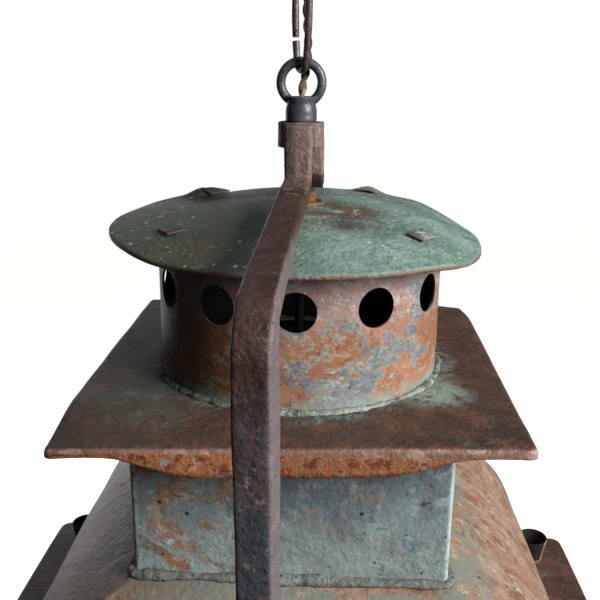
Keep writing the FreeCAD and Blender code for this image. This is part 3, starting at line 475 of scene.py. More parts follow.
def dark_bronze():
    """Flat plates: rough brown on top, pink and rust on the folded edge."""
    f = Finish("dark_bronze", "4e3c32", rough=0.6)
    f.layer(f.patches(22, 0.42, 0.62, seed=1, stretch=(1, 1.6, 1)), "463428", 0.55)
    f.layer(f.patches(16, 0.50, 0.66, seed=2), "5a3c34", 0.55)
    f.layer(f.patches(190, 0.54, 0.66, seed=3, stretch=(1, 1.6, 1), rough=0.8),
            "6c584a", 0.6, 0.5)
    f.layer(f.patches(150, 0.54, 0.66, seed=15, rough=0.8), "2f2720", 0.7, -0.6)
    f.layer(f.patches(44, 0.48, 0.62, seed=25, rough=0.8), "6d4a3c", 0.55)
    f.layer(f.both(f.patches(26, 0.58, 0.68, seed=4), f.patches(120, 0.45, 0.6, seed=5)),
            "56665a", 0.75, 0.3)
    ring = f.near(0.0, 0.0, up(0), 0.121, 0.06)
    f.layer(f.both(ring, f.patches(50, 0.46, 0.56, seed=6, rough=0.8),
                   f.patches(140, 0.34, 0.5, seed=16)), "6f8076", 0.8, 1.2)
    left = f.near(-0.098, -0.085, up(0), 0.040, 0.5)
    f.layer(f.both(left, f.patches(50, 0.44, 0.52, seed=36, rough=0.8)), "4c534a", 0.8, 1.6)
    f.layer(f.both(left, f.patches(80, 0.54, 0.58, seed=37, rough=0.8)), "71786c", 0.8, 1.0)
    right = f.near(0.098, -0.068, up(0), 0.024, 0.5)
    f.layer(f.both(right, f.patches(60, 0.36, 0.52, seed=26)), "8ba095", 0.8, 0.8)
    # Darker towards the left: painted shade.
    f.layer(f.part(f.along("X", -0.02, -0.13), 0.5), "433a2c", 0.6)
    f.layer(f.patches(210, 0.3, 0.7, seed=7, detail=3), lift=0.7)
    fold = f.facing("Z", 0.93, 0.55)
    f.layer(fold, "8f6b5b", 0.5)
    f.layer(f.both(fold, f.patches(60, 0.5, 0.62, seed=8)), "b29385", 0.55, 0.2)
    rust = f.both(f.facing("Z", 0.30, 0.12), f.along("Z", up(-5), up(-8)))
    f.layer(f.both(rust, f.patches(90, 0.30, 0.50, seed=9)), "a3663c", 0.75, 0.4)
    f.layer(f.both(rust, f.patches(150, 0.52, 0.60, seed=10)), "7c3a24", 0.8, -0.4)
    f.layer(f.both(rust, f.patches(60, 0.60, 0.66, seed=11)), "86928a", 0.8, 0.3)
    return f.done(0.0009, 0.75)


def slate_paint():
    """The neck: grey-blue paint, flaked at the left, with a painted highlight down its front
    corners, painted shade at its far left and its inside painted near black as shade.
    """
    f = Finish("slate_paint", "6e7b80", rough=0.62)
    f.layer(f.patches(10, 0.42, 0.62, seed=1), "7f9196", 0.65)
    f.layer(f.patches(26, 0.46, 0.62, seed=2, warp=0.6, rough=0.75), "5b676c", 0.55)
    f.layer(f.patches(60, 0.50, 0.62, seed=12, rough=0.8), "94a5a6", 0.7, 0.2)
    f.layer(f.patches(40, 0.54, 0.64, seed=22, rough=0.8), "7e7674", 0.65)
    low = f.along("Z", up(-60), up(-118))
    f.layer(f.both(low, f.patches(30, 0.34, 0.58, seed=13, rough=0.75)), "95a29e", 0.75, 0.2)
    left = f.along("X", 0.0, -0.06)
    flaked = f.patches(24, 0.515, 0.535, seed=4, warp=1.2, rough=0.75, detail=10)
    bare = f.both(flaked, f.either(left, f.patches(13, 0.58, 0.64, seed=5)))
    f.layer(bare, "8f7c66", 0.75, -0.7)
    f.layer(f.both(bare, f.patches(50, 0.45, 0.55, seed=6, rough=0.8)), "96694c", 0.7)
    f.layer(f.both(bare, f.patches(90, 0.50, 0.58, seed=7, rough=0.8)), "a89a90", 0.7, 0.2)
    f.layer(f.both(bare, f.patches(40, 0.52, 0.58, seed=8, rough=0.8)), "686a55", 0.7)
    f.layer(f.patches(60, 0.61, 0.635, seed=9, warp=1.0, rough=0.75), "9b8074", 0.7, -0.7)
    f.layer(f.patches(90, 0.62, 0.66, seed=19, rough=0.8), "b3c0bd", 0.75, 0.3)
    f.layer(f.patches(110, 0.60, 0.65, seed=20, rough=0.8), "3f494c", 0.6, -0.7)
    # A pale streak down the two front corners: a painted highlight where the rounded corners
    # catch the light.
    edges = f.either(f.both(f.along("X", 0.1075, 0.1100), f.along("Y", -0.1065, -0.1090)),
                     f.both(f.along("X", -0.1055, -0.1095), f.along("Y", -0.1055, -0.1090)))
    f.layer(f.both(edges, f.patches(70, 0.35, 0.5, seed=10)), "adc2bd", 0.8, 0.4)
    # Darker at the far left: painted shade.
    f.layer(f.part(f.along("X", -0.07, -0.13), 0.4), "4f5a5c", 0.6)
    f.layer(f.dots(48, 0.10, seed=9), "2f3436", 0.7, -0.9)
    f.layer(f.patches(170, 0.3, 0.7, seed=11, detail=4), lift=0.7)
    f.layer(f.patches(50, 0.3, 0.7, seed=14, rough=0.6), lift=0.3)
    # Inside faces painted near black as shade.
    f.layer(f.inward(), "0d0c0b", 0.9)
    return f.done(0.0009, 0.6)


def aged_copper():
    """The bombe roof and its cups: pinkish brown with soft pale streaks that run down, painted
    shade at the left and near black painted shade inside the roof's foot.
    """
    f = Finish("aged_copper", "9a7964", rough=0.58)
    f.layer(f.patches(16, 0.42, 0.60, seed=1, rough=0.7), "a88e7c", 0.6)
    f.layer(f.patches(28, 0.48, 0.60, seed=2, warp=0.7, rough=0.8), "825a44", 0.5)
    f.layer(f.patches(60, 0.52, 0.62, seed=3, rough=0.8), "9c6d50", 0.5)
    for seed, axis, stretch in ((4, "X", (0.35, 1.6, 0.35)), (5, "Y", (1.6, 0.35, 0.35))):
        steep, back = f.facing(axis, 0.3, 0.6), f.facing(axis, -0.3, -0.6)
        streak = f.patches(64, 0.50, 0.68, seed=seed, warp=0.3, stretch=stretch, rough=0.85)
        f.layer(f.part(f.both(f.either(steep, back), streak), 0.55), "b0aa9b", 0.75, 0.3)
    f.layer(f.patches(85, 0.56, 0.64, seed=6, rough=0.8), "b9bfb0", 0.8, 0.3)
    corner = f.both(f.patches(40, 0.43, 0.55, seed=7), f.along("Z", up(-160), up(-125)))
    f.layer(corner, "7f8379", 0.75, 0.3)
    # Darker towards the left: painted shade.
    f.layer(f.part(f.along("X", 0.0, -0.12), 0.5), "55402f", 0.5)
    f.layer(f.dots(40, 0.08, seed=2), "3a2d25", 0.6, -0.7)
    f.layer(f.patches(180, 0.3, 0.7, seed=8, detail=3), lift=0.5)
    # Inside faces at the roof's foot painted near black as shade.
    f.layer(f.both(f.inward(), f.along("Z", up(-361), up(-355))), "1a1411", 0.9)
    return f.done(0.0009, 0.75)


def body_copper():
    """Frames, rails and the base."""
    f = Finish("body_copper", "6e4d3d", rough=0.5)
    f.layer(f.patches(12, 0.42, 0.60, seed=1), "7f5b49", 0.55)
    f.layer(f.patches(22, 0.52, 0.62, seed=2, warp=0.8), "533a2e", 0.45)
    f.layer(f.patches(30, 0.58, 0.64, seed=3, stretch=(1, 1, 0.5)), "7f8f80", 0.75, 0.3)
    f.layer(f.patches(90, 0.60, 0.68, seed=4), "a5836c", 0.5, 0.2)
    f.layer(f.dots(50, 0.08, seed=4), "2c221c", 0.6, -0.6)
    f.layer(f.patches(170, 0.3, 0.7, seed=5, detail=3), lift=0.4)
    return f.done(0.0007)


def forged_iron():
    """The yoke: streaked at its neck, reddish brown on its run, blue-black lower down."""
    f = Finish("forged_iron", "432e27", rough=0.5)
    f.layer(f.patches(16, 0.42, 0.66, seed=1, rough=0.75), "4e3932", 0.55)
    f.layer(f.patches(30, 0.46, 0.62, seed=2, rough=0.8), "38261f", 0.45)
    f.layer(f.patches(120, 0.56, 0.66, seed=13, rough=0.8), "614840", 0.6, 0.2)
    neck = f.along("Z", up(143), up(149))
    f.layer(f.both(neck, f.patches(40, 0.25, 0.52, seed=3, rough=0.8)), "7d6762", 0.65, 0.2)
    f.layer(f.both(neck, f.patches(130, 0.52, 0.64, seed=4, rough=0.8, stretch=(1, 1, 0.5))),
            "85795f", 0.7, 0.3)
    f.layer(f.both(neck, f.patches(110, 0.52, 0.62, seed=5, rough=0.8, stretch=(1, 1, 0.5))),
            "6f3a34", 0.6)
    f.layer(f.both(neck, f.patches(160, 0.56, 0.62, seed=15, rough=0.8, stretch=(1, 1, 0.6))),
            "a8978e", 0.6, 0.3)
    # Darker over the left half of the neck: painted shade.
    f.layer(f.both(neck, f.along("X", 0.0, -0.008), f.patches(30, 0.3, 0.5, seed=16)),
            "4a3a35", 0.6)
    crease = f.both(f.along("Z", up(141), up(143)), f.along("Z", up(148), up(144)))
    f.layer(f.part(f.both(crease, f.patches(150, 0.54, 0.60, seed=6)), 0.35), "8b9a80", 0.7)
    low = f.along("Z", up(95), up(20))
    f.layer(f.both(low, f.patches(12, 0.34, 0.60, seed=7, rough=0.75, stretch=(1, 1, 0.4))),
            "625758", 0.5)
    f.layer(f.both(low, f.patches(26, 0.42, 0.55, seed=8, rough=0.8, stretch=(1, 1, 0.5))),
            "42454e", 0.4)
    f.layer(f.both(low, f.patches(34, 0.54, 0.64, seed=9, rough=0.85)), "6e453a", 0.55)
    f.layer(f.both(low, f.patches(120, 0.56, 0.64, seed=19, rough=0.8)), "85797a", 0.5, 0.2)
    # Right-facing sides of the arms below the run made lighter mauve grey: painted light on the
    # lit side.
    side = f.both(f.facing("X", 0.35, 0.8), f.along("Z", up(135), up(120)))
    f.layer(f.part(side, 0.8), "6f686b", 0.5)
    f.layer(f.both(side, f.patches(60, 0.50, 0.66, seed=10, rough=0.8)), "85756f", 0.5)
    f.layer(f.dots(90, 0.07, seed=6), "2a201c", 0.6, -0.6)
    f.layer(f.patches(150, 0.3, 0.7, seed=11, detail=4), lift=0.8)
    f.layer(f.patches(60, 0.3, 0.7, seed=12, rough=0.75), lift=0.6)
    return f.done(0.0008, 0.8)


def chain_iron():
    """Wire worn shiny, rusty in spots."""
    f = Finish("chain_iron", "584843", rough=0.40, metal=0.25)
    f.layer(f.patches(90, 0.44, 0.60, seed=1, rough=0.8), "6f6260", 0.34)
    f.layer(f.patches(90, 0.52, 0.62, seed=2, rough=0.8), "35292a", 0.5)
    f.layer(f.patches(160, 0.58, 0.64, seed=3, rough=0.8), "83503f", 0.8, 0.4)
    f.layer(f.patches(300, 0.3, 0.7, seed=4, detail=3), lift=0.6)
    return f.done(0.0005)


def black_casting():
    """Gunmetal grey, lightly polished by handling."""
    f = Finish("black_casting", "4f5058", rough=0.42, metal=0.3)
    f.layer(f.patches(50, 0.42, 0.62, seed=1, rough=0.75), "63646d", 0.36)
    f.layer(f.patches(120, 0.54, 0.64, seed=2, rough=0.8), "33343a", 0.5)
    f.layer(f.patches(200, 0.60, 0.66, seed=3), "7b6a60", 0.6, 0.2)
    f.layer(f.patches(260, 0.3, 0.7, seed=4, detail=3), lift=0.5)
    return f.done(0.0004)


def aged_brass():
    """Small turned parts."""
    f = Finish("aged_brass", "97694a", rough=0.42, metal=0.55)
    f.layer(f.patches(60, 0.42, 0.60, seed=1), "7c5238", 0.5)
    f.layer(f.patches(110, 0.54, 0.64, seed=2), "b08a66", 0.35)
    f.layer(f.patches(80, 0.62, 0.68, seed=3), "77897a", 0.75, 0.3)
    f.layer(f.patches(240, 0.3, 0.7, seed=4, detail=3), lift=0.4)
    return f.done(0.0004)


def flex_braid():
    """Tan braid inside the loop, dark above it (partly dirt, partly painted shade) and painted
    near black as shade inside the collar and lantern.
    """
    f = Finish("flex_braid", "8c7661", rough=0.9)
    f.layer(f.patches(500, 0.40, 0.60, seed=1, stretch=(1, 1, 0.4)), "6d5848", 0.95, 0.6)
    f.layer(f.patches(260, 0.54, 0.62, seed=2), "a8927c", 0.9, 0.4)
    f.layer(f.patches(120, 0.58, 0.66, seed=3), "4f3f35", 0.95)
    # Dark above the loop: partly dirt, partly painted shade.
    f.layer(f.part(f.along("Z", up(211), up(216)), 0.88), "3b2a24", 0.8)
    # Near black below 140 mm, where it runs inside the collar and lantern: painted shade.
    f.layer(f.along("Z", up(160), up(140)), "16120f", 0.95)
    return f.done(0.0005, 0.8)


def black_rubber():
    """The bush of the ceiling plate."""
    f = Finish("black_rubber", "201f1f", rough=0.75)
    f.layer(f.patches(150, 0.45, 0.6, seed=1), "302e2d", 0.85, 0.4)
    f.layer(f.patches(400, 0.3, 0.7, seed=2), lift=0.4)
    return f.done(0.0003)


def pane_glass():
    """Old drawn panes, with dusty patches."""
    f = Finish("pane_glass", "dfe8e4", rough=0.04)
    f.layer(f.patches(9, 0.50, 0.70, seed=1), "c9d2cb", 0.12, 0.3)
    f.layer(f.patches(130, 0.62, 0.70, seed=2), "a8a496", 0.5)
    f.layer(f.patches(22, 0.3, 0.7, seed=3, stretch=(1, 1, 0.3), detail=2), lift=1.0)
    f.shader.inputs["Transmission Weight"].default_value = 0.92
    f.shader.inputs["IOR"].default_value = 1.45
    return f.done(0.0006, 0.35)


def lamp_glass():
    """The frosted bulb."""
    f = Finish("lamp_glass", "f2efe6", rough=0.25)
    f.layer(f.patches(60, 0.45, 0.65, seed=1), "e2ddd0", 0.35, 0.2)
    f.shader.inputs["Transmission Weight"].default_value = 0.6
    return f.done(0.0002)


def porcelain():
    """The lamp holder."""
    f = Finish("porcelain", "d9d4c8", rough=0.22)
    f.layer(f.patches(30, 0.48, 0.62, seed=1), "c9c0ae", 0.3)
    f.layer(f.dots(60, 0.06, seed=1), "5b5145", 0.5)
    f.layer(f.patches(160, 0.3, 0.7, seed=2), lift=0.3)
    return f.done(0.0003)


FINISHES = {
    "verdigris_copper": verdigris_copper(), "mottled_copper": mottled_copper(),
    "solder": solder(), "dark_bronze": dark_bronze(), "slate_paint": slate_paint(),
    "aged_copper": aged_copper(), "body_copper": body_copper(), "forged_iron": forged_iron(),
    "chain_iron": chain_iron(), "black_casting": black_casting(), "brass": aged_brass(),
    "flex_braid": flex_braid(), "rubber": black_rubber(), "pane_glass": pane_glass(),
    "bulb_glass": lamp_glass(), "porcelain": porcelain(),
}


def finish(piece, slot):
    """Gives a piece the material of a slot."""
    piece.data.materials.clear()
    piece.data.materials.append(FINISHES[slot])


def finish_cad():
    """The CAD nodes have their slots already, so only their materials change."""
    for part in frame["record"]["subparts"]:
        piece = frame["nodes"][part["node"]]
        for holder in piece.material_slots:
            holder.material = FINISHES[part["material_slot"]]


# ---- flex ----
# The routes have the CAD's points: x, y and height above the upper plate, in millimetres.
FLEX_R = 3.2 * MM
FLEX_UPPER = [
    (2.0, 19.0, 350), (2.3, 18.2, 334), (2.5, 15.4, 316), (2.4, 12.4, 299), (2.6, 10.9, 284.2),
]
FLEX_LOWER = [
    (2.6, 10.9, 283.8), (2.7, 10.8, 270), (3.2, 10.4, 256), (4.2, 9.8, 242), (4.4, 8.9, 227),
    (0.2, 0.5, 208), (0, 0, 197),
]


def smooth_line(name, route):
    """The points of a NURBS line that follows a route."""
    curve = bpy.data.curves.new(name, "CURVE")
    curve.dimensions, curve.resolution_u = "3D", 16
    spline = curve.splines.new("NURBS")
    spline.points.add(len(route) - 1)
    for point, (x, y, z) in zip(spline.points, route):
        point.co = (x * MM, y * MM, up(z), 1)
    spline.order_u = 3
    spline.use_endpoint_u = True
    guide = bpy.data.objects.new(name, curve)
    mesh = bpy.data.meshes.new_from_object(guide)
    line = [v.co.copy() for v in mesh.vertices]
    bpy.data.objects.remove(guide)
    return line


def twisted_flex(name, route, node):
    """Two braided cores twisted together along a line that crosses a joint."""
    line = smooth_line(f"{name}_line", route)
    core, off, pitch, sides = FLEX_R * 0.60, FLEX_R * 0.40, 22 * MM, 12
    points, faces = [], []
    for strand in range(2):
        rings, run = [], 0.0
        for i, spot in enumerate(line):
            way = (line[min(i + 1, len(line) - 1)] - line[max(i - 1, 0)]).normalized()
            across = way.cross(Vector((0.2, 1, 0))).normalized()
            other = way.cross(across)
            run += (spot - line[i - 1]).length if i else 0
            angle = 2 * math.pi * run / pitch + math.pi * strand
            middle = spot + (across * math.cos(angle) + other * math.sin(angle)) * off
            rings.append([middle + (across * math.cos(a) + other * math.sin(a)) * core
                          for a in (2 * math.pi * k / sides for k in range(sides))])
        start = len(points)
        more_points, more_faces = loft(rings, ends=True)
        points += more_points
        faces += [tuple(start + v for v in face) for face in more_faces]
    piece = mesh_piece(name, points, faces, None, node)
    finish(piece, "flex_braid")
    tuple(line[0])
    tuple(line[-1])
    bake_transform(piece)
    tuple(line[0])
    [tuple(p) for p in line]


twisted_flex("flex_to_binding", FLEX_UPPER, "flex_upper")
twisted_flex("flex_to_loop", FLEX_LOWER, "flex_lower")


# ---- sheet-metal pieces ----
SHEET, PLATE = 1.6 * MM, 1.8 * MM
BRIM_UP = -362  # the brim's top face, in millimetres from the upper plate's


def make_cap():
    """The shallow dome, with its dents, its waved rim and the edge turned down."""
    rim_r, rim_up, top_up, flat_r, dome_r = 141.7 * MM, 103.5, 125.5, 17 * MM, 0.42
    chord = Vector((rim_r - flat_r, (rim_up - top_up) * MM))
    middle = Vector(((rim_r + flat_r) / 2, (rim_up + top_up) / 2 * MM))
    down = Vector((chord.y, -chord.x)).normalized()
    centre = middle + down * math.sqrt(dome_r ** 2 - (chord.length / 2) ** 2)
    back_up, left_up, right_down, front_up = 9.5 * MM, 7.0 * MM, 5.0 * MM, 2.0 * MM
    dents = [  # x, y, radius and depth in millimetres
        (33, -58, 17, 1.6), (56, -66, 15, 0.7), (-46, 30, 40, 1.0), (20, -112, 28, 0.9),
        (-96, -40, 30, 1.1), (92, 46, 34, 0.9), (-20, -88, 22, -0.6), (-88, 85, 20, -7.0),
        (56, 112, 16, -5.5),
    ]

    def height(x, y):
        radius = math.hypot(x, y)
        z = top_up * MM
        if radius > flat_r:
            z = centre.y + math.sqrt(dome_r ** 2 - (radius - centre.x) ** 2)
        spot = Vector((x, y, 0))
        edge = smooth_step(0.02, 0.14, radius)
        z += edge * (ripple(spot, 0.09, 2, 3) * 0.9 + ripple(spot, 0.03, 2, 8) * 0.25) * MM
        z += back_up * smooth_step(0.03, 0.135, y)
        z += left_up * smooth_step(0.07, 0.14, -x) - right_down * smooth_step(0.09, 0.135, x)
        z += front_up * smooth_step(0.09, 0.14, -y)
        for dent_x, dent_y, dent_r, depth in dents:
            away = math.hypot(x / MM - dent_x, y / MM - dent_y) / dent_r
            z -= depth * MM * math.exp(-2.2 * away * away)
        return DECK + z

    # The rings run out to the rim, which waves and is pressed in at the right, and two more
    # rings past it make the edge that is turned down.
    count, rim_ring, wavy_from, pressed_from = 220, 60, 55, 20
    wave_depth, press, press_width = 0.8 * MM, 0.055, 0.55
    edge_drop, edge_push = (0, 0.9, 3.0), (1, 1.0035, 1.004)
    rings = []
    for i in range(1, rim_ring + len(edge_drop)):
        radius, past = rim_r * min(1.0, i / rim_ring), max(0, i - rim_ring)
        drop, push = edge_drop[past] * MM, edge_push[past]
        pressed = smooth_step(pressed_from, rim_ring, i)
        ring = []
        for spot in circle_ring(radius, 0, count):
            grow = 1.0
            if i >= wavy_from:
                grow += ripple(spot.normalized() * 0.05, 0.03, 2, 5) * wave_depth / rim_r
            turn = math.atan2(spot.y, spot.x)
            grow -= press * math.exp(-(turn / press_width) ** 2) * pressed
            x, y = spot.x * grow, spot.y * grow
            ring.append(Vector((x * push, y * push, height(x, y) - drop)))
        rings.append(ring)
    points, faces = loft(rings)
    points.append(Vector((0, 0, up(top_up))))
    faces += [((i + 1) % count, i, len(points) - 1) for i in range(count)]
    faces = [tuple(reversed(face)) for face in faces]
    piece = mesh_piece("cap_sheet", points, faces, "lantern", "cap_dome")
    thicken(piece, SHEET)
    finish(piece, "verdigris_copper")
    return height


def make_tabs(height):
    """The drum's straps, pushed up through slots and folded flat on the cap."""
    angles = (-53, 53, 150, -136)  # from the front, in degrees
    slots = ("forged_iron", "solder", "verdigris_copper", "verdigris_copper")
    circle_r, wide, long, cells = 107.5 * MM, 18.5, 13.0, 8
    row_points = cells + 1
    for number, (angle, slot) in enumerate(zip(angles, slots)):
        turn = math.radians(angle)
        out = Vector((math.sin(turn), -math.cos(turn), 0))
        over = Vector((-out.y, out.x, 0))
        skew = 0.14 * math.sin(number * 2.3 + 0.6)
        across = (over + out * skew).normalized()
        ahead = (out - over * skew).normalized()
        rows = []
        for i in range(row_points):
            row = []
            for j in range(row_points):
                u, v = (i / cells - 0.5) * wide, (j / cells - 0.5) * long
                spot = out * circle_r + across * u * MM + ahead * v * MM
                rise = 1.9 + 0.35 * math.sin(number + u * 0.2) + (0.2 if j == 0 else 0)
                row.append(Vector((spot.x, spot.y, height(spot.x, spot.y) + rise * MM)))
            rows.append(row)
        points = [p for row in rows for p in row]
        corners = (0, 1, row_points + 1, row_points)
        faces = [tuple(i * row_points + j + corner for corner in corners)
                 for i in range(cells) for j in range(cells)]
        nodes = ("cap_tabs",) if number == 0 else ()
        piece = mesh_piece(f"strap_{number}", points, faces, "lantern", *nodes)
        thicken(piece, 1.5 * MM, offset=0)
        soft_edges(piece, 0.4 * MM)
        finish(piece, slot)


FOLD_RINGS = 5


def folded_edge(half, fold, corner, steps, depth, settle):
    """The rings of a square sheet's edge, bent down round a radius and then straight."""
    rings = []
    for i in range(1, FOLD_RINGS + 1):
        angle = i / FOLD_RINGS * math.pi / 2
        out = fold * math.sin(angle)
        ring = square_ring(half - fold + out, 0, corner + out)
        rings.append([settle(p, fold * (1 - math.cos(angle))) for p in ring])
    ring = square_ring(half, 0, corner + fold)
    for i in range(1, steps + 1):
        rings.append([settle(p, fold + (depth(p) - fold) * i / steps) for p in ring])
    return rings


def make_deck():
    """The upper square plate, warped and drooping in front, with its tapered apron."""
    half, fold, corner_r, hole_r, rows = 152.5 * MM, 2.6 * MM, 1.5 * MM, 99 * MM, 21
    apron, apron_taper, taper_from, taper_to = 18.5, 13.5, 58 * MM, 118 * MM

    def settle(point, drop):
        """Bends the corners down, the back right one most, and the front, more to its left."""
        x, y = point.x, point.y
        spot, radius = Vector((x, y, 0)), math.hypot(x, y)
        corner = smooth_step(0.19, 0.215, radius)
        back_right = x > 0 and y > 0
        bent = corner * (1.2 if back_right else 0.5) * MM
        bent += smooth_step(0.09, half, -y) * (3.4 - 4.6 * x / half) * MM
        warp = ripple(spot, 0.11, 2, 2) * 0.7 * MM * smooth_step(0.105, 0.15, radius)
        sway = ripple(spot, 0.05, 2, 6) * 0.5 * MM if drop > 0 else 0
        push = 1 + sway / half - (0.022 * corner if back_right else 0)
        return Vector((x * push, y * push, DECK - drop + warp - bent))

    def apron_depth(point):
        along = min(abs(point.x), abs(point.y))
        ragged = ripple(point, 0.02, 3, 4) * 0.5
        return (apron - apron_taper * smooth_step(taper_from, taper_to, along) + ragged) * MM

    inner = circle_ring(hole_r, 0, 4 * SIDE_POINTS, -math.pi / 4)
    outer = square_ring(half - fold, 0, corner_r)
    rings = [[settle(p, 0) for p in between(inner, outer, i / rows)] for i in range(rows + 1)]
    rings += folded_edge(half, fold, corner_r, 4, apron_depth, settle)
    piece = mesh_piece("deck_sheet", *loft(rings), "lantern", "upper_deck")
    thicken(piece, PLATE)
    finish(piece, "dark_bronze")


def make_neck():
    """The square box between the upper plate and the roof."""
    half, corner_r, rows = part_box("neck_box")[1].x, 4.5 * MM, 40
    low, high = -126.0, -1.8
    rings = []
    for i in range(rows + 1):
        z = up(low + (high - low) * i / rows)
        ring = []
        for p in square_ring(half, z, corner_r):
            flat = 1 - smooth_step(0.100, 0.111, min(abs(p.x), abs(p.y)))
            dent = flat * (ripple(p, 0.06, 2, 4) * 0.8 + ripple(p, 0.018, 2, 9) * 0.15) * MM
            ring.append(swollen(p, half, dent - 0.4 * MM))
        rings.append(ring)
    piece = mesh_piece("neck_sheet", *loft(rings), "lantern", "neck_box")
    thicken(piece, SHEET)
    finish(piece, "slate_paint")


def bead(name, node, path, radius, squash, lumps):
    """A line of solder round a closed path, lumpy as it was run."""
    rings, sides, thinnest = [], 12, 0.45
    for i, spot in enumerate(path):
        way = (path[(i + 1) % len(path)] - path[i - 1]).normalized()
        out = way.cross(Vector((0, 0, 1))).normalized()
        small, large = ripple(spot, 0.012, 3, 5), ripple(spot, 0.05, 2, 1)
        size = max(radius * (1 + lumps * small + lumps * large), thinnest * radius)
        ring = []
        for k in range(sides):
            a = 2 * math.pi * k / sides
            edge = spot + out * math.cos(a) * size + Vector((0, 0, math.sin(a) * size * squash))
            ring.append(edge + (edge - spot) * 0.25 * ripple(edge, 0.004, 2, 7))
        rings.append(ring)
    points, faces = loft(rings, wrap=True)
    finish(mesh_piece(name, points, faces, "lantern", node), "solder")


def make_roof():
    """Four bulging slopes that meet in soft hips."""
    top_half, foot_half, bulge = 112.6 * MM, 236 * MM, 200 * MM
    top_z, foot_z = up(-125), up(BRIM_UP)
    a, b = Vector((foot_half, foot_z)), Vector((top_half, top_z))
    chord = b - a
    inward = Vector((-chord.y, chord.x)).normalized()
    centre = (a + b) / 2 + inward * math.sqrt(bulge ** 2 - (chord.length / 2) ** 2)
    first, last = (math.atan2(p.y - centre.y, p.x - centre.x) for p in (b, a))
    rings, rows, corner_r = [], 60, 6 * MM
    for i in range(rows + 1):
        angle = first + (last - first) * i / rows
        half, z = centre.x + bulge * math.cos(angle), centre.y + bulge * math.sin(angle)
        ring = []
        for p in square_ring(half, z, corner_r):
            flat = 1 - smooth_step(half * 0.85, half * 0.99, min(abs(p.x), abs(p.y)))
            dent = flat * (ripple(p, 0.10, 2, 12) * 1.3 + ripple(p, 0.03, 2, 3) * 0.3) * MM
            ring.append(swollen(p, half, dent - 1.0 * MM))
        rings.append(ring)
    points, faces = loft(rings)
    faces = [tuple(reversed(face)) for face in faces]
    piece = mesh_piece("roof_sheet", points, faces, "lantern", "roof_shell")
    thicken(piece, SHEET)
    finish(piece, "aged_copper")


def make_brim():
    """The wide square brim, its edge folded down."""
    half, fold, corner_r, edge, hole_half = 324 * MM, 2.4 * MM, 9 * MM, 13.6 * MM, 195 * MM
    top, rows = up(BRIM_UP), 24

    def settle(point, down):
        x, y = point.x, point.y
        outer = smooth_step(0.25, 0.32, max(abs(x), abs(y)))
        warp = ripple(Vector((x, y, 0)), 0.16, 2, 5) * 0.9 * MM * outer
        corner = smooth_step(0.42, 0.455, math.hypot(x, y)) * 1.5 * MM
        return Vector((x, y, top - down + warp - corner))

    inner, outer = square_ring(hole_half, 0), square_ring(half - fold, 0, corner_r)
    rings = [[settle(p, 0) for p in between(inner, outer, i / rows)] for i in range(rows + 1)]
    rings += folded_edge(half, fold, corner_r, 3, lambda point: edge, settle)
    piece = mesh_piece("brim_sheet", *loft(rings), "lantern", "brim_plate")
    thicken(piece, PLATE)
    finish(piece, "dark_bronze")


def make_cups():
    """Four tapered cups with a rolled rim, soldered to the corners of the brim."""
    place, tall, base_r, top_r, wall = 278 * MM, 30 * MM, 13 * MM, 18 * MM, 1.2 * MM
    rows, flare, uneven = 10, 1.15, 0.012

    def side(inset, i):
        return base_r - inset + (top_r - base_r) * (i / rows) ** flare, tall * i / rows

    outline = [(0.5 * MM, 0.2 * MM), (base_r, 0.2 * MM)]
    outline += [side(0, i) for i in range(1, rows + 1)]
    outline += [(top_r - 0.3 * MM, tall + 0.6 * MM), (top_r - wall, tall)]
    outline += [side(wall, i) for i in range(rows - 1, 0, -1)]
    outline += [(base_r - wall, 2 * MM), (0.5 * MM, 1.8 * MM)]
    for number, (sx, sy) in enumerate(((-1, -1), (1, -1), (1, 1), (-1, 1))):
        middle = Vector((sx * place, sy * place, up(BRIM_UP)))
        rings = []
        for radius, z in outline:
            ring = [p + middle for p in circle_ring(radius, z, 48)]
            rings.append([p + (p - middle) * uneven * ripple(p, 0.02, 2, number) for p in ring])
        nodes = ("corner_cups",) if number == 0 else ()
        name = f"corner_cup_{number}"
        piece = mesh_piece(name, *loft(rings, ends=True), "lantern", *nodes)
        finish(piece, "aged_copper")


cap_height = make_cap()
make_tabs(cap_height)
make_deck()
make_neck()
make_roof()
make_brim()
make_cups()
drum_foot = circle_ring(109 * MM, up(1.6), 320)
neck_foot = square_ring(113.5 * MM, up(-124.2), 8 * MM)
bead("drum_bead", "drum_solder", drum_foot, radius=3.2 * MM, squash=0.62, lumps=0.55)
bead("neck_bead", "neck_solder", neck_foot, radius=4.2 * MM, squash=0.8, lumps=0.4)


# ---- forgings and castings ----
def front_twist(spot):
    """The front arm's lower run is twisted, so that its right side faces the viewer more."""
    lower = smooth_step(up(128), up(92), spot.z) * smooth_step(up(-300), up(-200), spot.z)
    shoulder_y, slope, shear, bar_thick = 0.2585, 0.0465, 0.30, 0.014
    outer_y = -(shoulder_y + (spot.z - up(112)) * slope)
    return shear * lower * min(bar_thick, max(0.0, spot.y - outer_y))


def back_lean(spot):
    """The back arm leans to the right where it leaves the collar."""
    lean, neck_y, run = 3.5 * MM, 0.026, 0.232
    near = 1 - min(1.0, max(0.0, (spot.y - neck_y) / run))
    return lean * near * smooth_step(up(-60), up(60), spot.z)


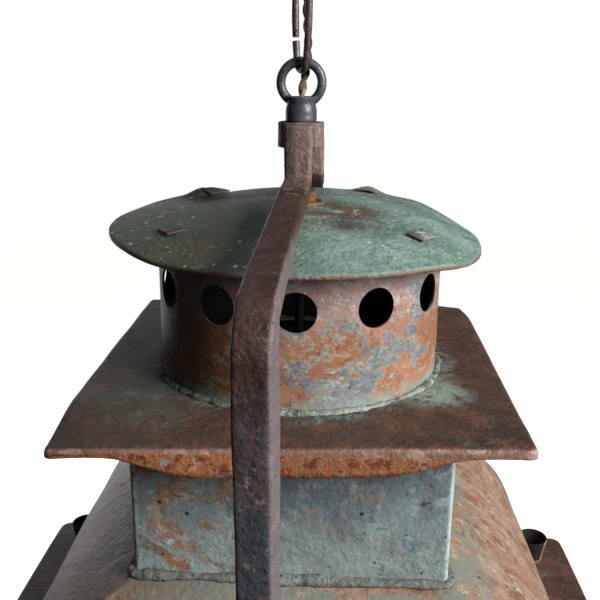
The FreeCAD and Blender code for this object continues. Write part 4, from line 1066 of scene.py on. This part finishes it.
ARM_DENTS = [(0.05, 0.5), (0.012, 0.16)]
COLLAR_DENTS = [(0.02, 0.3), (0.006, 0.12)]
LINK_DENTS = [(0.010, 0.16), (0.003, 0.06)]
FORGINGS = [  # name, node, body, slot, voxel in mm, smoothing, dents in m and mm, bend
    ("yoke_front", "yoke_arm_front", "lantern", "forged_iron", 1.0, 3, ARM_DENTS, front_twist),
    ("yoke_back", "yoke_arm_back", "lantern", "forged_iron", 1.0, 3, ARM_DENTS, back_lean),
    ("yoke_collar", "yoke_boss", "lantern", "forged_iron", 0.6, 9, COLLAR_DENTS, None),
    ("cast_loop", "hanging_loop", "lantern", "black_casting", 0.4, 8, [(0.008, 0.10)], None),
    ("open_link", "chain_link", "link", "chain_iron", 0.35, 4, LINK_DENTS, None),
    ("iron_hook", "ceiling_hook", "ceiling", "chain_iron", 0.5, 3, [(0.010, 0.12)], None),
]
for name, node, body, slot, voxel, smoothing, dents, bend in FORGINGS:
    dents = [(size, depth * MM) for size, depth in dents]
    finish(recast(name, node, body, voxel * MM, smoothing, dents, bend), slot)

finish_cad()
softened = """
    top_rail bottom_rail corner_posts base_plate door_frame ceiling_plate gland_nut gland_washer
    turn_button door_knob foot_bolt_heads foot_nuts lock_nut hook_nut holder_bracket lamp_holder
    stem_nut
""".split()
for node in softened:
    soft_edges(frame["nodes"][node], 0.5 * MM)


# ---- stage and light ----
def make_stage():
    """A pale round floor that curves up into a backdrop on every side."""
    floor_z, reach, bend, tall = cad_box[0][2] - 0.35, 7.0, 2.0, 9
    steps, sides = 16, 96
    profile = [(0.05, floor_z), (reach - bend, floor_z)]
    for i in range(1, steps + 1):
        a = i / steps * math.pi / 2
        profile.append((reach - bend + bend * math.sin(a), floor_z + bend - bend * math.cos(a)))
    profile.append((reach, floor_z + tall))
    points, faces = loft([circle_ring(radius, z, sides) for radius, z in profile])
    faces.append(tuple(range(sides)))
    mesh = bpy.data.meshes.new("stage")
    mesh.from_pydata(points, [], faces)
    stage = bpy.data.objects.new("stage", mesh)
    bpy.context.collection.objects.link(stage)
    material = bpy.data.materials.new("pale_floor")
    material.use_nodes = True
    shader = material.node_tree.nodes["Principled BSDF"]
    shader.inputs["Base Color"].default_value = (0.9, 0.9, 0.88, 1)
    shader.inputs["Roughness"].default_value = 0.9
    shader.inputs["Emission Color"].default_value = (1.0, 0.995, 0.97, 1)
    shader.inputs["Emission Strength"].default_value = 0.9
    mesh.materials.append(material)
    stage.visible_diffuse = stage.visible_glossy = False


def soft_light(name, place, aim, size, power, colour):
    data = bpy.data.lights.new(name, "AREA")
    data.shape, data.size, data.energy, data.color = "SQUARE", size, power, colour
    lamp = bpy.data.objects.new(name, data)
    lamp.location = place
    lamp.rotation_mode = "QUATERNION"
    lamp.rotation_quaternion = (Vector(aim) - Vector(place)).to_track_quat("-Z", "Y")
    bpy.context.collection.objects.link(lamp)


make_stage()
heart = (0, 0, up(-40))
soft_light("window", (2.0, -1.25, 0.72), heart, 1.3, 114, (1.0, 0.99, 0.97))
soft_light("sky", (-0.3, 0.2, 2.2), heart, 1.6, 9, (0.95, 0.97, 1.0))
soft_light("fill", (-2.2, -1.8, 0.0), heart, 2.0, 1.6, (0.95, 0.97, 1.0))
soft_light("behind", (-1.0, 2.4, -0.75), heart, 2.0, 26, (0.95, 0.97, 1.0))
world = bpy.data.worlds.new("studio")
world.use_nodes = True
world.node_tree.nodes["Background"].inputs["Color"].default_value = (0.95, 0.97, 1.0, 1)
world.node_tree.nodes["Background"].inputs["Strength"].default_value = 0.03
bpy.context.scene.world = world
bpy.context.scene.view_settings.view_transform = "Standard"
